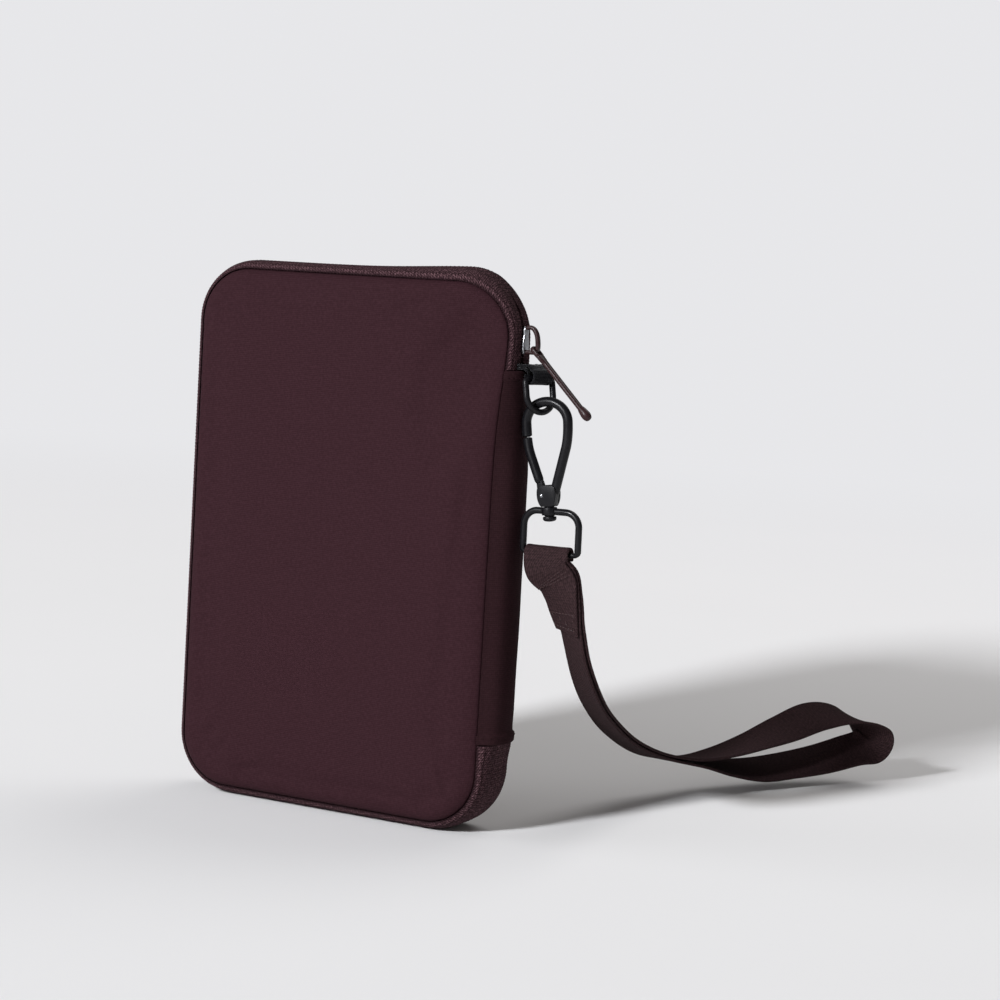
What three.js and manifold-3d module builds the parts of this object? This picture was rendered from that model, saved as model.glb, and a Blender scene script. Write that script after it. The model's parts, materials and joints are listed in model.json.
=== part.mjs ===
// Travel document wallet: two padded covers joined by a soft spine and closed by a zip round
// the other three sides, with a swivel snap hook and a webbing hand loop on the spine.
// Millimetres, +Z up, front towards -Y, spine towards +X. The wallet stands on its bottom edge,
// and the origin is the middle of that edge.
import * as THREE from "three";
import { mergeVertices } from "three/addons/utils/BufferGeometryUtils.js";
import Module from "manifold-3d";

const wasm = await Module();
wasm.setup();
const { degToRad } = THREE.MathUtils;

// Case
const WIDTH = 151; // across the outside of the zip
const HEIGHT = 230;
const CORNER = 26; // outside radius of the four corners
const CORNER_STEPS = 7;
const GAP = 0.3; // clearance kept between sewn or seated pieces
const SEAM = 13.5; // half the depth, from the middle of the zip to a cover's seam
const SEAM_INSET = 4; // from the outside of the zip in to a cover's seam

// Zip
const TAPE = 1.3; // tape thickness
const END_ANGLE = 25; // degrees round the spine-side corners where the end stretches stop
const COIL_ANGLE = 40; // the teeth start here at the top, past the stretch the slider runs on
const CHAIN_MIDDLE = -0.3; // the back tape reaches just past the middle of the depth

// Spine
const GUSSET_BOTTOM = 38.5;
const GUSSET_TOP = 191.5;
const GUSSET_CLOTH = 1.6;
const GUSSET_BULGE = 2; // stands this far outside the zip
const HEM_HEIGHT = 4;
const HEM_EXTRA = 0.7;

// Slider and pull
const SLIDER_HALF = 5.5; // half its length
const SLIDER_WIDE = 4.6; // half widths at its two ends
const SLIDER_NARROW = 3.3;
const WING = 1.3; // thickness of the outer and the inner plate
const BRIDGE = 2.4; // width of the arch that holds the pull
const PULL_LENGTH = 38;
const PULL_SLANT = 43; // degrees out from hanging straight down, resting on the webbing tab

// Ring, hook and swivel frame
const TAB_WIDTH = 10;
const TAB_CLOTH = 1;
const RING_WIRE = 1.2; // radius
const RING_HALF = 6.8; // half width, at the middle of the wire
const RING_DROP = 12; // from the straight bar to the bottom of the bow
const RING_YAW = 25; // degrees that ring and tab are turned towards the front
const RING_SWING = 12; // degrees that the ring stands away from the case
const HOOK_ROD = 1.7; // radius
const HOOK_HALF = 8.75; // half width, at the middle of the rod
const HOOK_TILT = 6.5; // degrees that the hook's foot stands away from the case
const GATE_TOP = -15; // where nose and gate meet, below the hook's crown
const PIVOT = new THREE.Vector2(-2.2, -39); // gate pin, from the hook's crown
const BLOCK_TOP = -35.5;
const BLOCK_BOTTOM = -43.5;
const BLOCK_DEPTH = 5.2;
const SLOT = 2.9; // width of the slot that takes the gate
const POST = 2.1; // radius of the swivel post
const FRAME_BAR = 1.4; // radius
const FRAME_HALF = 11.9; // half width, at the middle of the bar
const FRAME_TOP = -46.6; // top and lower bar, below the hook's crown
const FRAME_LOW = -61.6;

// Hand loop
const STRAP_WIDTH = 20;
const STRAP_CLOTH = 1.3;
const PLY = 1.7; // from the middle of one ply to the next
const TAIL_STATIONS = 5; // the tail reaches down to this station of the neck
const STRAP_STEPS = 3; // pieces from one station of the strap to the next

// Materials
const finish = (color, roughness, metalness = 0) =>
  new THREE.MeshStandardMaterial({ color, roughness, metalness });
const COVER = finish(0x3c282b, 0.75);
const FOAM = finish(0x2b2628, 0.95);
const LINING = finish(0x332528, 0.8);
const ZIP_TAPE = finish(0x45322f, 0.85);
const COIL = finish(0x2a1d1c, 0.5);
const WEBBING = finish(0x3d2b2c, 0.85);
const TAB_WEBBING = finish(0x18181b, 0.85);
const BLACK_METAL = finish(0x1c1d21, 0.42, 0.9);
const ENAMEL = finish(0x38231f, 0.3, 0.6);
const STEEL = finish(0x8d8f94, 0.3, 1);

const wallet = new THREE.Group();

// Adds a closed geometry to the wallet, or to a turned group in it, as a named piece.
function piece(name, geometry, material, parent = wallet) {
  const mesh = new THREE.Mesh(geometry, material);
  mesh.name = name;
  parent.add(mesh);
  return mesh;
}

// Solids for cutting and joining

function solidOf(geometry) {
  const bare = new THREE.BufferGeometry();
  bare.setAttribute("position", geometry.getAttribute("position"));
  bare.setIndex(geometry.getIndex());
  const merged = mergeVertices(bare, 1e-4);
  return new wasm.Manifold(
    new wasm.Mesh({
      numProp: 3,
      vertProperties: new Float32Array(merged.attributes.position.array),
      triVerts: new Uint32Array(merged.index.array),
    }),
  );
}

function geometryOf(solid) {
  const { vertProperties, triVerts } = solid.getMesh();
  const geometry = new THREE.BufferGeometry();
  geometry.setAttribute("position", new THREE.BufferAttribute(vertProperties, 3));
  geometry.setIndex(new THREE.BufferAttribute(triVerts, 1));
  geometry.computeVertexNormals();
  return geometry;
}

const cut = (from, ...tools) =>
  geometryOf(tools.reduce((solid, tool) => solid.subtract(solidOf(tool)), solidOf(from)));

const join = (first, ...rest) =>
  geometryOf(rest.reduce((solid, other) => solid.add(solidOf(other)), solidOf(first)));

const box = (low, high) =>
  new THREE.BoxGeometry(high[0] - low[0], high[1] - low[1], high[2] - low[2]).translate(
    (low[0] + high[0]) / 2,
    (low[1] + high[1]) / 2,
    (low[2] + high[2]) / 2,
  );

// A pin of the given radius along Y, centred on a point of the XZ plane.
const pin = (x, z, radius, length) =>
  new THREE.CylinderGeometry(radius, radius, length, 12).translate(x, 0, z);

// A round bar along Z between two heights.
const post = (radius, low, high) =>
  new THREE.CylinderGeometry(radius, radius, high - low, 14)
    .rotateX(Math.PI / 2)
    .translate(0, 0, (low + high) / 2);

// Extrudes an outline of the XZ plane along Y, evenly to both sides of it.
const plate = (shape, thickness) =>
  new THREE.ExtrudeGeometry(shape, { depth: thickness, bevelEnabled: false, curveSegments: 8 })
    .translate(0, 0, -thickness / 2)
    .rotateX(Math.PI / 2);

const outline = (points) => new THREE.Shape(points.map(([x, z]) => new THREE.Vector2(x, z)));

// Skins a row of like rings. An open row is closed by its end sections.
function loft(rings, section, closed = false) {
  const count = rings[0].length;
  const index = [];
  const spans = closed ? rings.length : rings.length - 1;
  for (let i = 0; i < spans; i++) {
    const here = i * count;
    const next = ((i + 1) % rings.length) * count;
    for (let j = 0; j < count; j++) {
      const k = (j + 1) % count;
      index.push(here + j, here + k, next + k, here + j, next + k, next + j);
    }
  }
  if (!closed) {
    const area = THREE.ShapeUtils.area(section);
    const end = (rings.length - 1) * count;
    for (const face of THREE.ShapeUtils.triangulateShape(section, [])) {
      const same = THREE.ShapeUtils.area(face.map((corner) => section[corner])) * area > 0;
      const [a, b, c] = same ? face : [face[0], face[2], face[1]];
      index.push(c, b, a, end + a, end + b, end + c);
    }
  }
  const points = rings.flat();
  let volume = 0;
  for (let i = 0; i < index.length; i += 3)
    volume += points[index[i]].dot(points[index[i + 1]].clone().cross(points[index[i + 2]]));
  if (volume < 0) index.reverse();
  const geometry = new THREE.BufferGeometry().setFromPoints(points);
  geometry.setIndex(index);
  geometry.computeVertexNormals();
  return geometry;
}

// Stations along the wallet's outside edge between two angles, which run anticlockwise seen from
// the front, from 0 at the top of the spine side. Each has its place and its outward direction.
function edge(from, to) {
  const stations = [];
  for (let corner = Math.floor(from / 90); corner * 90 < to; corner++) {
    const start = Math.max(from, corner * 90);
    const stop = Math.min(to, (corner + 1) * 90);
    const side = corner === 0 || corner === 3 ? 1 : -1;
    const end = corner < 2 ? 1 : -1;
    const steps = Math.ceil(((stop - start) / 90) * CORNER_STEPS);
    for (let i = 0; i <= steps; i++) {
      const turn = degToRad(start + ((stop - start) * i) / steps);
      const out = new THREE.Vector3(Math.cos(turn), 0, Math.sin(turn));
      const middle = new THREE.Vector3(
        side * (WIDTH / 2 - CORNER),
        0,
        HEIGHT / 2 + end * (HEIGHT / 2 - CORNER),
      );
      stations.push({ at: middle.addScaledVector(out, CORNER), out });
    }
  }
  return stations;
}

// Carries a section, given as [distance outwards, y], along stations of the edge.
function band(section, stations, closed = false) {
  const rings = stations.map(({ at, out }) =>
    section.map(([reach, y]) => at.clone().addScaledVector(out, reach).setY(y)),
  );
  return loft(rings, section.map(([reach, y]) => new THREE.Vector2(reach, y)), closed);
}

// A slab with the wallet's outline, from layers of [inset, y, scale about the middle].
function slab(layers) {
  const middle = new THREE.Vector3(0, 0, HEIGHT / 2);
  const rings = layers.map(([inset, y, scale = 1]) =>
    edge(0, 360).map(({ at, out }) =>
      at.clone().addScaledVector(out, -inset).sub(middle).multiplyScalar(scale).add(middle).setY(y),
    ),
  );
  return loft(rings, rings[0].map((p) => new THREE.Vector2(p.x, p.z)));
}

// A round rod along a path of the XZ plane.
function rod(path, radius, closed = false, sides = 8) {
  const across = new THREE.Vector3(0, 1, 0);
  const rings = path.map((point, i) => {
    const before = path[closed ? (i + path.length - 1) % path.length : Math.max(i - 1, 0)];
    const after = path[closed ? (i + 1) % path.length : Math.min(i + 1, path.length - 1)];
    const side = new THREE.Vector3(before.y - after.y, 0, after.x - before.x).normalize();
    return Array.from({ length: sides }, (_, k) => {
      const turn = (2 * Math.PI * k) / sides;
      return new THREE.Vector3(point.x, 0, point.y)
        .addScaledVector(side, radius * Math.cos(turn))
        .addScaledVector(across, radius * Math.sin(turn));
    });
  });
  const section = Array.from({ length: sides }, (_, k) => {
    const turn = (2 * Math.PI * k) / sides;
    return new THREE.Vector2(Math.cos(turn), Math.sin(turn));
  });
  return loft(rings, section, closed);
}

// A flat strip along stations of [point, width direction], which is squared to the path.
function strip(stations, width, cloth) {
  const rings = stations.map(([point, across], i) => {
    const before = stations[Math.max(i - 1, 0)][0];
    const after = stations[Math.min(i + 1, stations.length - 1)][0];
    const along = after.clone().sub(before).normalize();
    const wide = across.clone().addScaledVector(along, -across.dot(along)).normalize();
    const thick = wide.clone().cross(along);
    return [[-1, -1], [1, -1], [1, 1], [-1, 1]].map(([u, v]) =>
      point
        .clone()
        .addScaledVector(wide, (u * width) / 2)
        .addScaledVector(thick, (v * cloth) / 2),
    );
  });
  const corners = [[-1, -1], [1, -1], [1, 1], [-1, 1]].map(([u, v]) => new THREE.Vector2(u, v));
  return loft(rings, corners);
}

// Covers: a turned-in skin over a foam core, backed by the lining. side is -1 in front, 1 behind.

function skin(side) {
  const outside = [
    [SEAM_INSET, SEAM - 0.7],
    [SEAM_INSET, SEAM + 0.1],
    [SEAM_INSET + 0.7, SEAM + 1.5],
    [SEAM_INSET + 2.6, SEAM + 2.7],
    [SEAM_INSET + 6, SEAM + 3.3],
    [SEAM_INSET + 14, SEAM + 3.8],
    [SEAM_INSET + 14, SEAM + 4.2, 0.55],
  ];
  const hollow = [
    [SEAM_INSET + 1.2, SEAM - 1],
    [SEAM_INSET + 1.2, SEAM + 0.1],
    [SEAM_INSET + 1.8, SEAM + 1],
    [SEAM_INSET + 3.4, SEAM + 1.8],
    [SEAM_INSET + 7, SEAM + 2.2],
  ];
  const turned = (layers) => slab(layers.map(([inset, y, scale]) => [inset, side * y, scale]));
  return cut(turned(outside), turned(hollow));
}

const foam = (side) =>
  slab(
    [
      [SEAM_INSET + 1.6, SEAM - 1.1],
      [SEAM_INSET + 1.6, SEAM],
      [SEAM_INSET + 2.2, SEAM + 0.7],
      [SEAM_INSET + 3.8, SEAM + 1.5],
      [SEAM_INSET + 7.2, SEAM + 1.9],
    ].map(([inset, y]) => [inset, side * y]),
  );

const LINING_FACE = SEAM - 2.3; // inner face of a lining, from the middle of the depth
const lining = (side) =>
  slab([
    [SEAM_INSET + 1.6, side * LINING_FACE],
    [SEAM_INSET + 1.6, side * (SEAM - 1.4)],
  ]);

function binding(side) {
  const inner = -SEAM_INSET - 4.4;
  const outer = -SEAM_INSET - 0.2;
  const low = LINING_FACE - 1.5;
  const high = LINING_FACE - GAP;
  const round = 0.5;
  const section = [
    [inner, low + round],
    [inner + round, low],
    [outer - round, low],
    [outer, low + round],
    [outer, high],
    [inner, high],
  ];
  return band(section.map(([reach, y]) => [reach, side * y]), edge(0, 360), true);
}

// Zip tape and teeth

// Half of the tape, from the chain out to the seam: flat outside, then bent in to the cover's edge.
const TAPE_OUTSIDE = [[0, 7.5], [-0.4, 9.6], [-1.3, 11.4], [-2.5, 12.7], [GAP - SEAM_INSET, SEAM]];
const TAPE_INSIDE = [[GAP - SEAM_INSET, 12], [-2.5, 10.6], [-1.7, 9.2], [-TAPE, 7.4]];

function tape(side) {
  const start = side * CHAIN_MIDDLE + GAP / 2;
  const section = [[0, start], ...TAPE_OUTSIDE, ...TAPE_INSIDE, [-TAPE, start]];
  return band(
    section.map(([reach, y]) => [reach, side * y]),
    edge(END_ANGLE, 360 - END_ANGLE),
  );
}

function coil(side) {
  const start = side * CHAIN_MIDDLE + GAP / 2;
  const near = -TAPE - GAP;
  const section = [
    [near, start + 0.5],
    [near, start + 2.1],
    [near - 0.8, start + 2.6],
    [near - 1.7, start + 2.4],
    [near - 2.4, start + 1.3],
    [near - 1.8, start + 0.2],
    [near - 0.7, start],
  ];
  return band(
    section.map(([reach, y]) => [reach, side * y]),
    edge(COIL_ANGLE, 360 - END_ANGLE),
  );
}

// A short stretch of both tapes past the last teeth, on the spine side of the corner.
function zipEnd(stations) {
  const mirrored = (half) => half.map(([reach, y]) => [reach, -y]).reverse();
  const section = [
    ...mirrored(TAPE_OUTSIDE),
    ...TAPE_OUTSIDE,
    ...TAPE_INSIDE,
    ...mirrored(TAPE_INSIDE),
  ];
  return band(section, stations);
}

const SPINE_FACE = WIDTH / 2; // outside of the zip on the spine side
const CORNER_Z = HEIGHT - CORNER; // where the upper corner starts
const TAPE_SLOT = 1.75; // half the opening between the parted tapes under the slider
const END_TACK = 1.6; // length of the tack that closes the parted tapes

const straight = (z) => ({
  at: new THREE.Vector3(SPINE_FACE, 0, z),
  out: new THREE.Vector3(1, 0, 0),
});
const endGap = (GAP / CORNER) * THREE.MathUtils.RAD2DEG;

function zipEndTop() {
  const foot = GUSSET_TOP + GAP;
  const stretch = zipEnd([straight(foot), ...edge(0, END_ANGLE - endGap)]);
  const opening = box(
    [SPINE_FACE - CORNER, -TAPE_SLOT, foot + END_TACK],
    [SPINE_FACE + 1, TAPE_SLOT, HEIGHT],
  );
  return cut(stretch, opening);
}

function zipEndBottom() {
  const head = GUSSET_BOTTOM - GAP;
  return zipEnd([...edge(360 - END_ANGLE + endGap, 360), straight(head)]);
}

// Pockets sewn to a lining on three sides and open at the top

// wall and back are the wall's inner face and the far end of its rims, both as |y|.
function pocket(side, [left, right, low, high], wall, back, rim, cloth) {
  const inside = Math.min(wall, back);
  const outside = Math.max(wall, back);
  const near = inside - cloth;
  const spanY = (a, b) => (side < 0 ? [-b, -a] : [a, b]);
  const [wallLow, wallHigh] = spanY(near, outside);
  const [roomLow, roomHigh] = spanY(inside, outside + 1);
  return cut(
    box([left, wallLow, low], [right, wallHigh, high]),
    box([left + rim, roomLow, low + rim], [right - rim, roomHigh, high + 1]),
  );
}

const POCKET_HALF = 52;
const POCKET_FLOOR = 18;
const POCKET_CLOTH = 0.8;
const POCKET_WALL = 6.4; // face of a pocket wall towards its lining
const POCKET_RIM = 2;
const CARD_HALF = 46;
const CARD_HEIGHT = 46;
const CARD_STEP = 14;
const CARD_FLOOR = 70;
const CARD_PITCH = 1.7; // in depth, from one card pocket to the next
const CARD_ROOM = 0.9;
const CARD_CLOTH = 0.5;

piece("back_panel", skin(1), COVER);
piece("back_foam", foam(1), FOAM);
piece("back_lining", lining(1), LINING);
piece("back_binding", binding(1), LINING);
piece("zip_tape_back", tape(1), ZIP_TAPE);
piece("zip_coil_back", coil(1), COIL);
const passport = [-POCKET_HALF, POCKET_HALF, POCKET_FLOOR, POCKET_FLOOR + 140];
piece(
  "passport_pocket",
  pocket(1, passport, POCKET_WALL, LINING_FACE - GAP, POCKET_RIM, POCKET_CLOTH),
  LINING,
);

piece("front_panel", skin(-1), COVER);
piece("front_foam", foam(-1), FOAM);
piece("front_lining", lining(-1), LINING);
piece("front_binding", binding(-1), LINING);
piece("zip_tape_front", tape(-1), ZIP_TAPE);
piece("zip_coil_front", coil(-1), COIL);
const ticket = [-POCKET_HALF, POCKET_HALF, POCKET_FLOOR, POCKET_FLOOR + 172];
piece(
  "ticket_pocket",
  pocket(-1, ticket, POCKET_WALL, LINING_FACE - GAP, POCKET_RIM, POCKET_CLOTH),
  LINING,
);
for (let i = 0; i < 3; i++) {
  const back = POCKET_WALL - POCKET_CLOTH - GAP - i * CARD_PITCH;
  const floor = CARD_FLOOR + (2 - i) * CARD_STEP;
  const span = [-CARD_HALF, CARD_HALF, floor, floor + CARD_HEIGHT];
  piece(
    `card_slot_${i + 1}`,
    pocket(-1, span, back - CARD_ROOM, back, POCKET_RIM, CARD_CLOTH),
    LINING,
  );
}

// Spine: a bowed strip of cover cloth with a hem at each end, and its lining

const GUSSET_EDGE = SPINE_FACE - SEAM_INSET + GAP; // x of its two long edges
const SAGITTA = SPINE_FACE + GUSSET_BULGE - GUSSET_EDGE;
const GUSSET_RADIUS = (SEAM * SEAM + SAGITTA * SAGITTA) / (2 * SAGITTA);
const GUSSET_AXIS = SPINE_FACE + GUSSET_BULGE - GUSSET_RADIUS;

// Points of a bow of the given radius about the gusset's axis, between its edges at the given x.
function bow(radius, edgeX, steps = 8) {
  const half = Math.acos((edgeX - GUSSET_AXIS) / radius);
  return Array.from({ length: steps + 1 }, (_, i) => {
    const turn = half * ((2 * i) / steps - 1);
    return [GUSSET_AXIS + radius * Math.cos(turn), radius * Math.sin(turn)];
  });
}

function bowedStrip(levels, inner, edgeX) {
  const ring = (outer) => [...bow(outer, edgeX), ...bow(inner, edgeX).reverse()];
  const rings = levels.map(([z, outer]) =>
    ring(outer).map(([x, y]) => new THREE.Vector3(x, y, z)),
  );
  return loft(rings, ring(levels[0][1]).map(([x, y]) => new THREE.Vector2(x, y)));
}

const hem = GUSSET_RADIUS + HEM_EXTRA;
piece(
  "spine_gusset",
  bowedStrip(
    [
      [GUSSET_BOTTOM, hem],
      [GUSSET_BOTTOM + HEM_HEIGHT, hem],
      [GUSSET_BOTTOM + HEM_HEIGHT + 0.4, GUSSET_RADIUS],
      [GUSSET_TOP - HEM_HEIGHT - 0.4, GUSSET_RADIUS],
      [GUSSET_TOP - HEM_HEIGHT, hem],
      [GUSSET_TOP, hem],
    ],
    GUSSET_RADIUS - GUSSET_CLOTH,
    GUSSET_EDGE,
  ),
  COVER,
);

const LINING_BOW = GUSSET_RADIUS - GUSSET_CLOTH - 0.4;
piece(
  "spine_lining",
  bowedStrip(
    [
      [GUSSET_BOTTOM + 1.5, LINING_BOW],
      [GUSSET_TOP - 1.5, LINING_BOW],
    ],
    LINING_BOW - 0.7,
    GUSSET_EDGE + 0.6,
  ),
  LINING,
);
piece("zip_end_top", zipEndTop(), ZIP_TAPE);
piece("zip_end_bottom", zipEndBottom(), ZIP_TAPE);

// Zip slider: two plates joined by a wedge between the tapes, with a raised bridge for the pull

function slider() {
  const wing = (x) => {
    const shape = outline([
      [-SLIDER_WIDE + 0.8, -SLIDER_HALF],
      [SLIDER_WIDE - 0.8, -SLIDER_HALF],
      [SLIDER_WIDE, -SLIDER_HALF + 1.2],
      [SLIDER_WIDE, -0.5],
      [SLIDER_NARROW, 2],
      [SLIDER_NARROW, SLIDER_HALF - 1],
      [SLIDER_NARROW - 0.9, SLIDER_HALF],
      [0.9 - SLIDER_NARROW, SLIDER_HALF],
      [-SLIDER_NARROW, SLIDER_HALF - 1],
      [-SLIDER_NARROW, 2],
      [-SLIDER_WIDE, -0.5],
      [-SLIDER_WIDE, -SLIDER_HALF + 1.2],
    ]);
    return plate(shape, WING)
      .rotateZ(Math.PI / 2)
      .translate(x, 0, CORNER_Z);
  };
  const outer = SPINE_FACE + 0.35;
  const inner = SPINE_FACE - TAPE - 0.9 - WING; // room for the tape to curve between the plates
  const wedge = box(
    [inner + WING / 2, -1.3, CORNER_Z - 4],
    [outer + WING / 2, 1.3, CORNER_Z - 0.8],
  );
  const arch = outline([
    [outer + 0.8, CORNER_Z + 4.8],
    [SPINE_FACE + 4.1, CORNER_Z + 3.6],
    [SPINE_FACE + 7.3, CORNER_Z - 1.5],
    [SPINE_FACE + 7.3, CORNER_Z - 4.2],
    [SPINE_FACE + 6.2, CORNER_Z - 5.4],
    [outer + 0.8, CORNER_Z - 5.4],
  ]);
  const opening = outline([
    [outer + WING + 0.4, CORNER_Z + 2.9],
    [SPINE_FACE + 3.6, CORNER_Z + 2.4],
    [SPINE_FACE + 6.1, CORNER_Z - 2],
    [SPINE_FACE + 6.1, CORNER_Z - 3.8],
    [SPINE_FACE + 5.7, CORNER_Z - 4.25],
    [outer + WING + 0.4, CORNER_Z - 4.25],
  ]);
  const bridge = cut(plate(arch, BRIDGE), plate(opening, BRIDGE + 1));
  return join(wing(outer + WING / 2), wing(inner + WING / 2), wedge, bridge);
}
piece("zip_slider", slider(), ENAMEL);

// Zip pull: a flat bar with an eye round the bridge and a thick round end

function pull() {
  const bar = new THREE.Shape();
  bar.moveTo(-2.7, 0.8);
  bar.lineTo(-2.7, -5);
  bar.quadraticCurveTo(-2.6, -7.4, -1.8, -8.4);
  bar.lineTo(-1.6, 3 - PULL_LENGTH);
  bar.lineTo(1.6, 3 - PULL_LENGTH);
  bar.lineTo(1.8, -8.4);
  bar.quadraticCurveTo(2.6, -7.4, 2.7, -5);
  bar.lineTo(2.7, 0.8);
  const eye = box([-1.6, -2, -4.4], [1.6, 2, -0.8]);
  const end = new THREE.LatheGeometry(
    [[0, 0], [1.4, 0.5], [2.1, 2], [2, 4], [1.3, 6.5], [0, 7.2]].map(([r, l]) => new THREE.Vector2(r, l)),
    10,
  )
    .rotateX(Math.PI / 2)
    .translate(0, 0, -PULL_LENGTH);
  return cut(join(plate(bar, 1.7), end), eye).rotateZ(Math.PI / 2);
}
const pullPivot = new THREE.Vector3(SPINE_FACE + 4.7, 0, CORNER_Z - 2.85);
const zipPull = piece("zip_pull", pull(), ENAMEL);
zipPull.position.copy(pullPivot);
zipPull.rotation.y = -degToRad(PULL_SLANT);

// Webbing tab: one strip sewn down above the gusset and looped round the ring's bar

const TAB_LOOP = new THREE.Vector2(SPINE_FACE + 8, GUSSET_TOP - 1.9); // middle of the loop
const TAB_RADIUS = 2.9; // to the middle of the cloth
const yawed = (degrees) =>
  new THREE.Vector3(Math.sin(degToRad(degrees)), Math.cos(degToRad(degrees)), 0);

function tab() {
  const upper = GUSSET_TOP + 2.3;
  const lower = GUSSET_TOP + 1;
  const root = SPINE_FACE + 0.4;
  const at = (x, z, yaw) => [new THREE.Vector3(x, 0, z), yawed(yaw)];
  const outward = yawed(RING_YAW + 90); // across the ring's bar
  const loop = Array.from({ length: 13 }, (_, i) => {
    const turn = degToRad(80 - 23.5 * i);
    const [point, across] = at(TAB_LOOP.x, TAB_LOOP.y + TAB_RADIUS * Math.sin(turn), RING_YAW);
    return [point.addScaledVector(outward, TAB_RADIUS * Math.cos(turn)), across];
  });
  return strip(
    [
      at(root, upper, 0),
      at(root + 2.6, upper, RING_YAW * 0.35),
      at(root + 5.6, upper, RING_YAW * 0.8),
      ...loop,
      at(root + 3.6, lower, RING_YAW * 0.5),
      at(root + 2, lower, RING_YAW * 0.25),
      at(root, lower, 0),
    ],
    TAB_WIDTH,
    TAB_CLOTH,
  );
}
piece("ring_tab", tab(), TAB_WEBBING);

// Ring: a bent wire with a straight bar in the tab and a round bow below

const ringBar = new THREE.Vector3(
  TAB_LOOP.x,
  0,
  TAB_LOOP.y - TAB_RADIUS + TAB_CLOTH / 2 + GAP + RING_WIRE,
);

function ring() {
  const bend = 1.6;
  const path = new THREE.Path();
  path.moveTo(RING_HALF - bend, 0);
  path.absarc(RING_HALF - bend, -bend, bend, Math.PI / 2, 0, true);
  path.absarc(0, RING_HALF - RING_DROP, RING_HALF, 0, -Math.PI, true);
  path.absarc(bend - RING_HALF, -bend, bend, Math.PI, Math.PI / 2, true);
  const points = path.getPoints(7);
  const distinct = points.filter((p, i) => i === 0 || p.distanceTo(points[i - 1]) > 0.05);
  return rod(distinct, RING_WIRE, true).rotateZ(Math.PI / 2);
}
const dRing = piece("d_ring", ring(), BLACK_METAL);
dRing.position.copy(ringBar);
dRing.rotation.set(0, -degToRad(RING_SWING), -degToRad(RING_YAW), "ZYX");
const ringBow = new THREE.Vector3(0, 0, -RING_DROP).applyEuler(dRing.rotation).add(ringBar);

// Snap hook, in a group whose origin is the middle of the rod at the hook's crown

const hookSet = new THREE.Group();
hookSet.position.copy(ringBow).add(new THREE.Vector3(1.6, 0, RING_WIRE + HOOK_ROD + 1.15));
hookSet.rotation.y = -degToRad(HOOK_TILT);
wallet.add(hookSet);

function hookBody() {
  const path = new THREE.Path();
  path.moveTo(-HOOK_HALF + 0.2, GATE_TOP);
  path.lineTo(-HOOK_HALF, -HOOK_HALF);
  path.absarc(0, -HOOK_HALF, HOOK_HALF, Math.PI, 0, true);
  path.quadraticCurveTo(HOOK_HALF, GATE_TOP, 7.6, -19);
  path.lineTo(2.7, BLOCK_TOP - 2.5);
  const block = new THREE.Shape();
  block.moveTo(-4, BLOCK_TOP + 0.8);
  block.lineTo(3.9, BLOCK_TOP + 0.8);
  block.quadraticCurveTo(4.6, -39, 2.9, BLOCK_BOTTOM);
  block.lineTo(-2.9, BLOCK_BOTTOM);
  block.quadraticCurveTo(-4.9, -39.5, -4, BLOCK_TOP + 0.8);
  const swivel = [
    post(POST, -49.6, BLOCK_BOTTOM + 0.5),
    post(1.5, -51.6, -49.4),
  ];
  const whole = join(rod(path.getPoints(8), HOOK_ROD), plate(block, BLOCK_DEPTH), ...swivel);
  return cut(
    whole,
    box([-7, -SLOT / 2, PIVOT.y - 3.2], [0.2, SLOT / 2, BLOCK_TOP + 2]),
    box([0, -1.15, PIVOT.y - 1.6], [2.4, 1.15, PIVOT.y + 0.8]), // seat of the gate's spring
    pin(PIVOT.x, PIVOT.y, 1.1, BLOCK_DEPTH + 2),
  );
}
piece("hook_body", hookBody(), BLACK_METAL, hookSet);

function hookGate() {
  const path = [
    new THREE.Vector2(-HOOK_HALF + 0.3, GATE_TOP - 0.5),
    new THREE.Vector2(-7.9, -20),
    new THREE.Vector2(-5.9, -27),
    new THREE.Vector2(-3.6, BLOCK_TOP + 1.4),
  ];
  const tongue = new THREE.Shape();
  tongue.moveTo(-5, BLOCK_TOP + 3.2);
  tongue.lineTo(-4.5, PIVOT.y);
  tongue.absarc(PIVOT.x, PIVOT.y, 2.1, Math.PI, 1.9 * Math.PI, false);
  tongue.lineTo(-2.4, BLOCK_TOP + 2.6);
  return cut(
    join(rod(path, 1.5), plate(tongue, SLOT - 0.7)),
    pin(PIVOT.x, PIVOT.y, 1.1, BLOCK_DEPTH),
  );
}
piece("hook_gate", hookGate(), BLACK_METAL, hookSet);
piece("gate_pin", pin(PIVOT.x, PIVOT.y, 0.75, BLOCK_DEPTH + 0.4), STEEL, hookSet);

// The gate's spring, a short coil seated in the block behind the tongue.
function gateSpring() {
  const turns = 3;
  const perTurn = 8;
  const wire = 0.2;
  const coilRadius = 0.75;
  const rings = Array.from({ length: turns * perTurn + 1 }, (_, i) => {
    const turn = (2 * Math.PI * i) / perTurn;
    const x = 0.45 + (1.55 * i) / (turns * perTurn);
    return Array.from({ length: 5 }, (_, k) => {
      const round = (2 * Math.PI * k) / 5;
      const reach = coilRadius + wire * Math.cos(round);
      return new THREE.Vector3(
        x + wire * Math.sin(round),
        reach * Math.cos(turn),
        PIVOT.y - 0.4 + reach * Math.sin(turn),
      );
    });
  });
  const section = Array.from({ length: 5 }, (_, k) => {
    const round = (2 * Math.PI * k) / 5;
    return new THREE.Vector2(Math.cos(round), Math.sin(round));
  });
  return loft(rings, section);
}
piece("gate_spring", gateSpring(), STEEL, hookSet);

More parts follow.
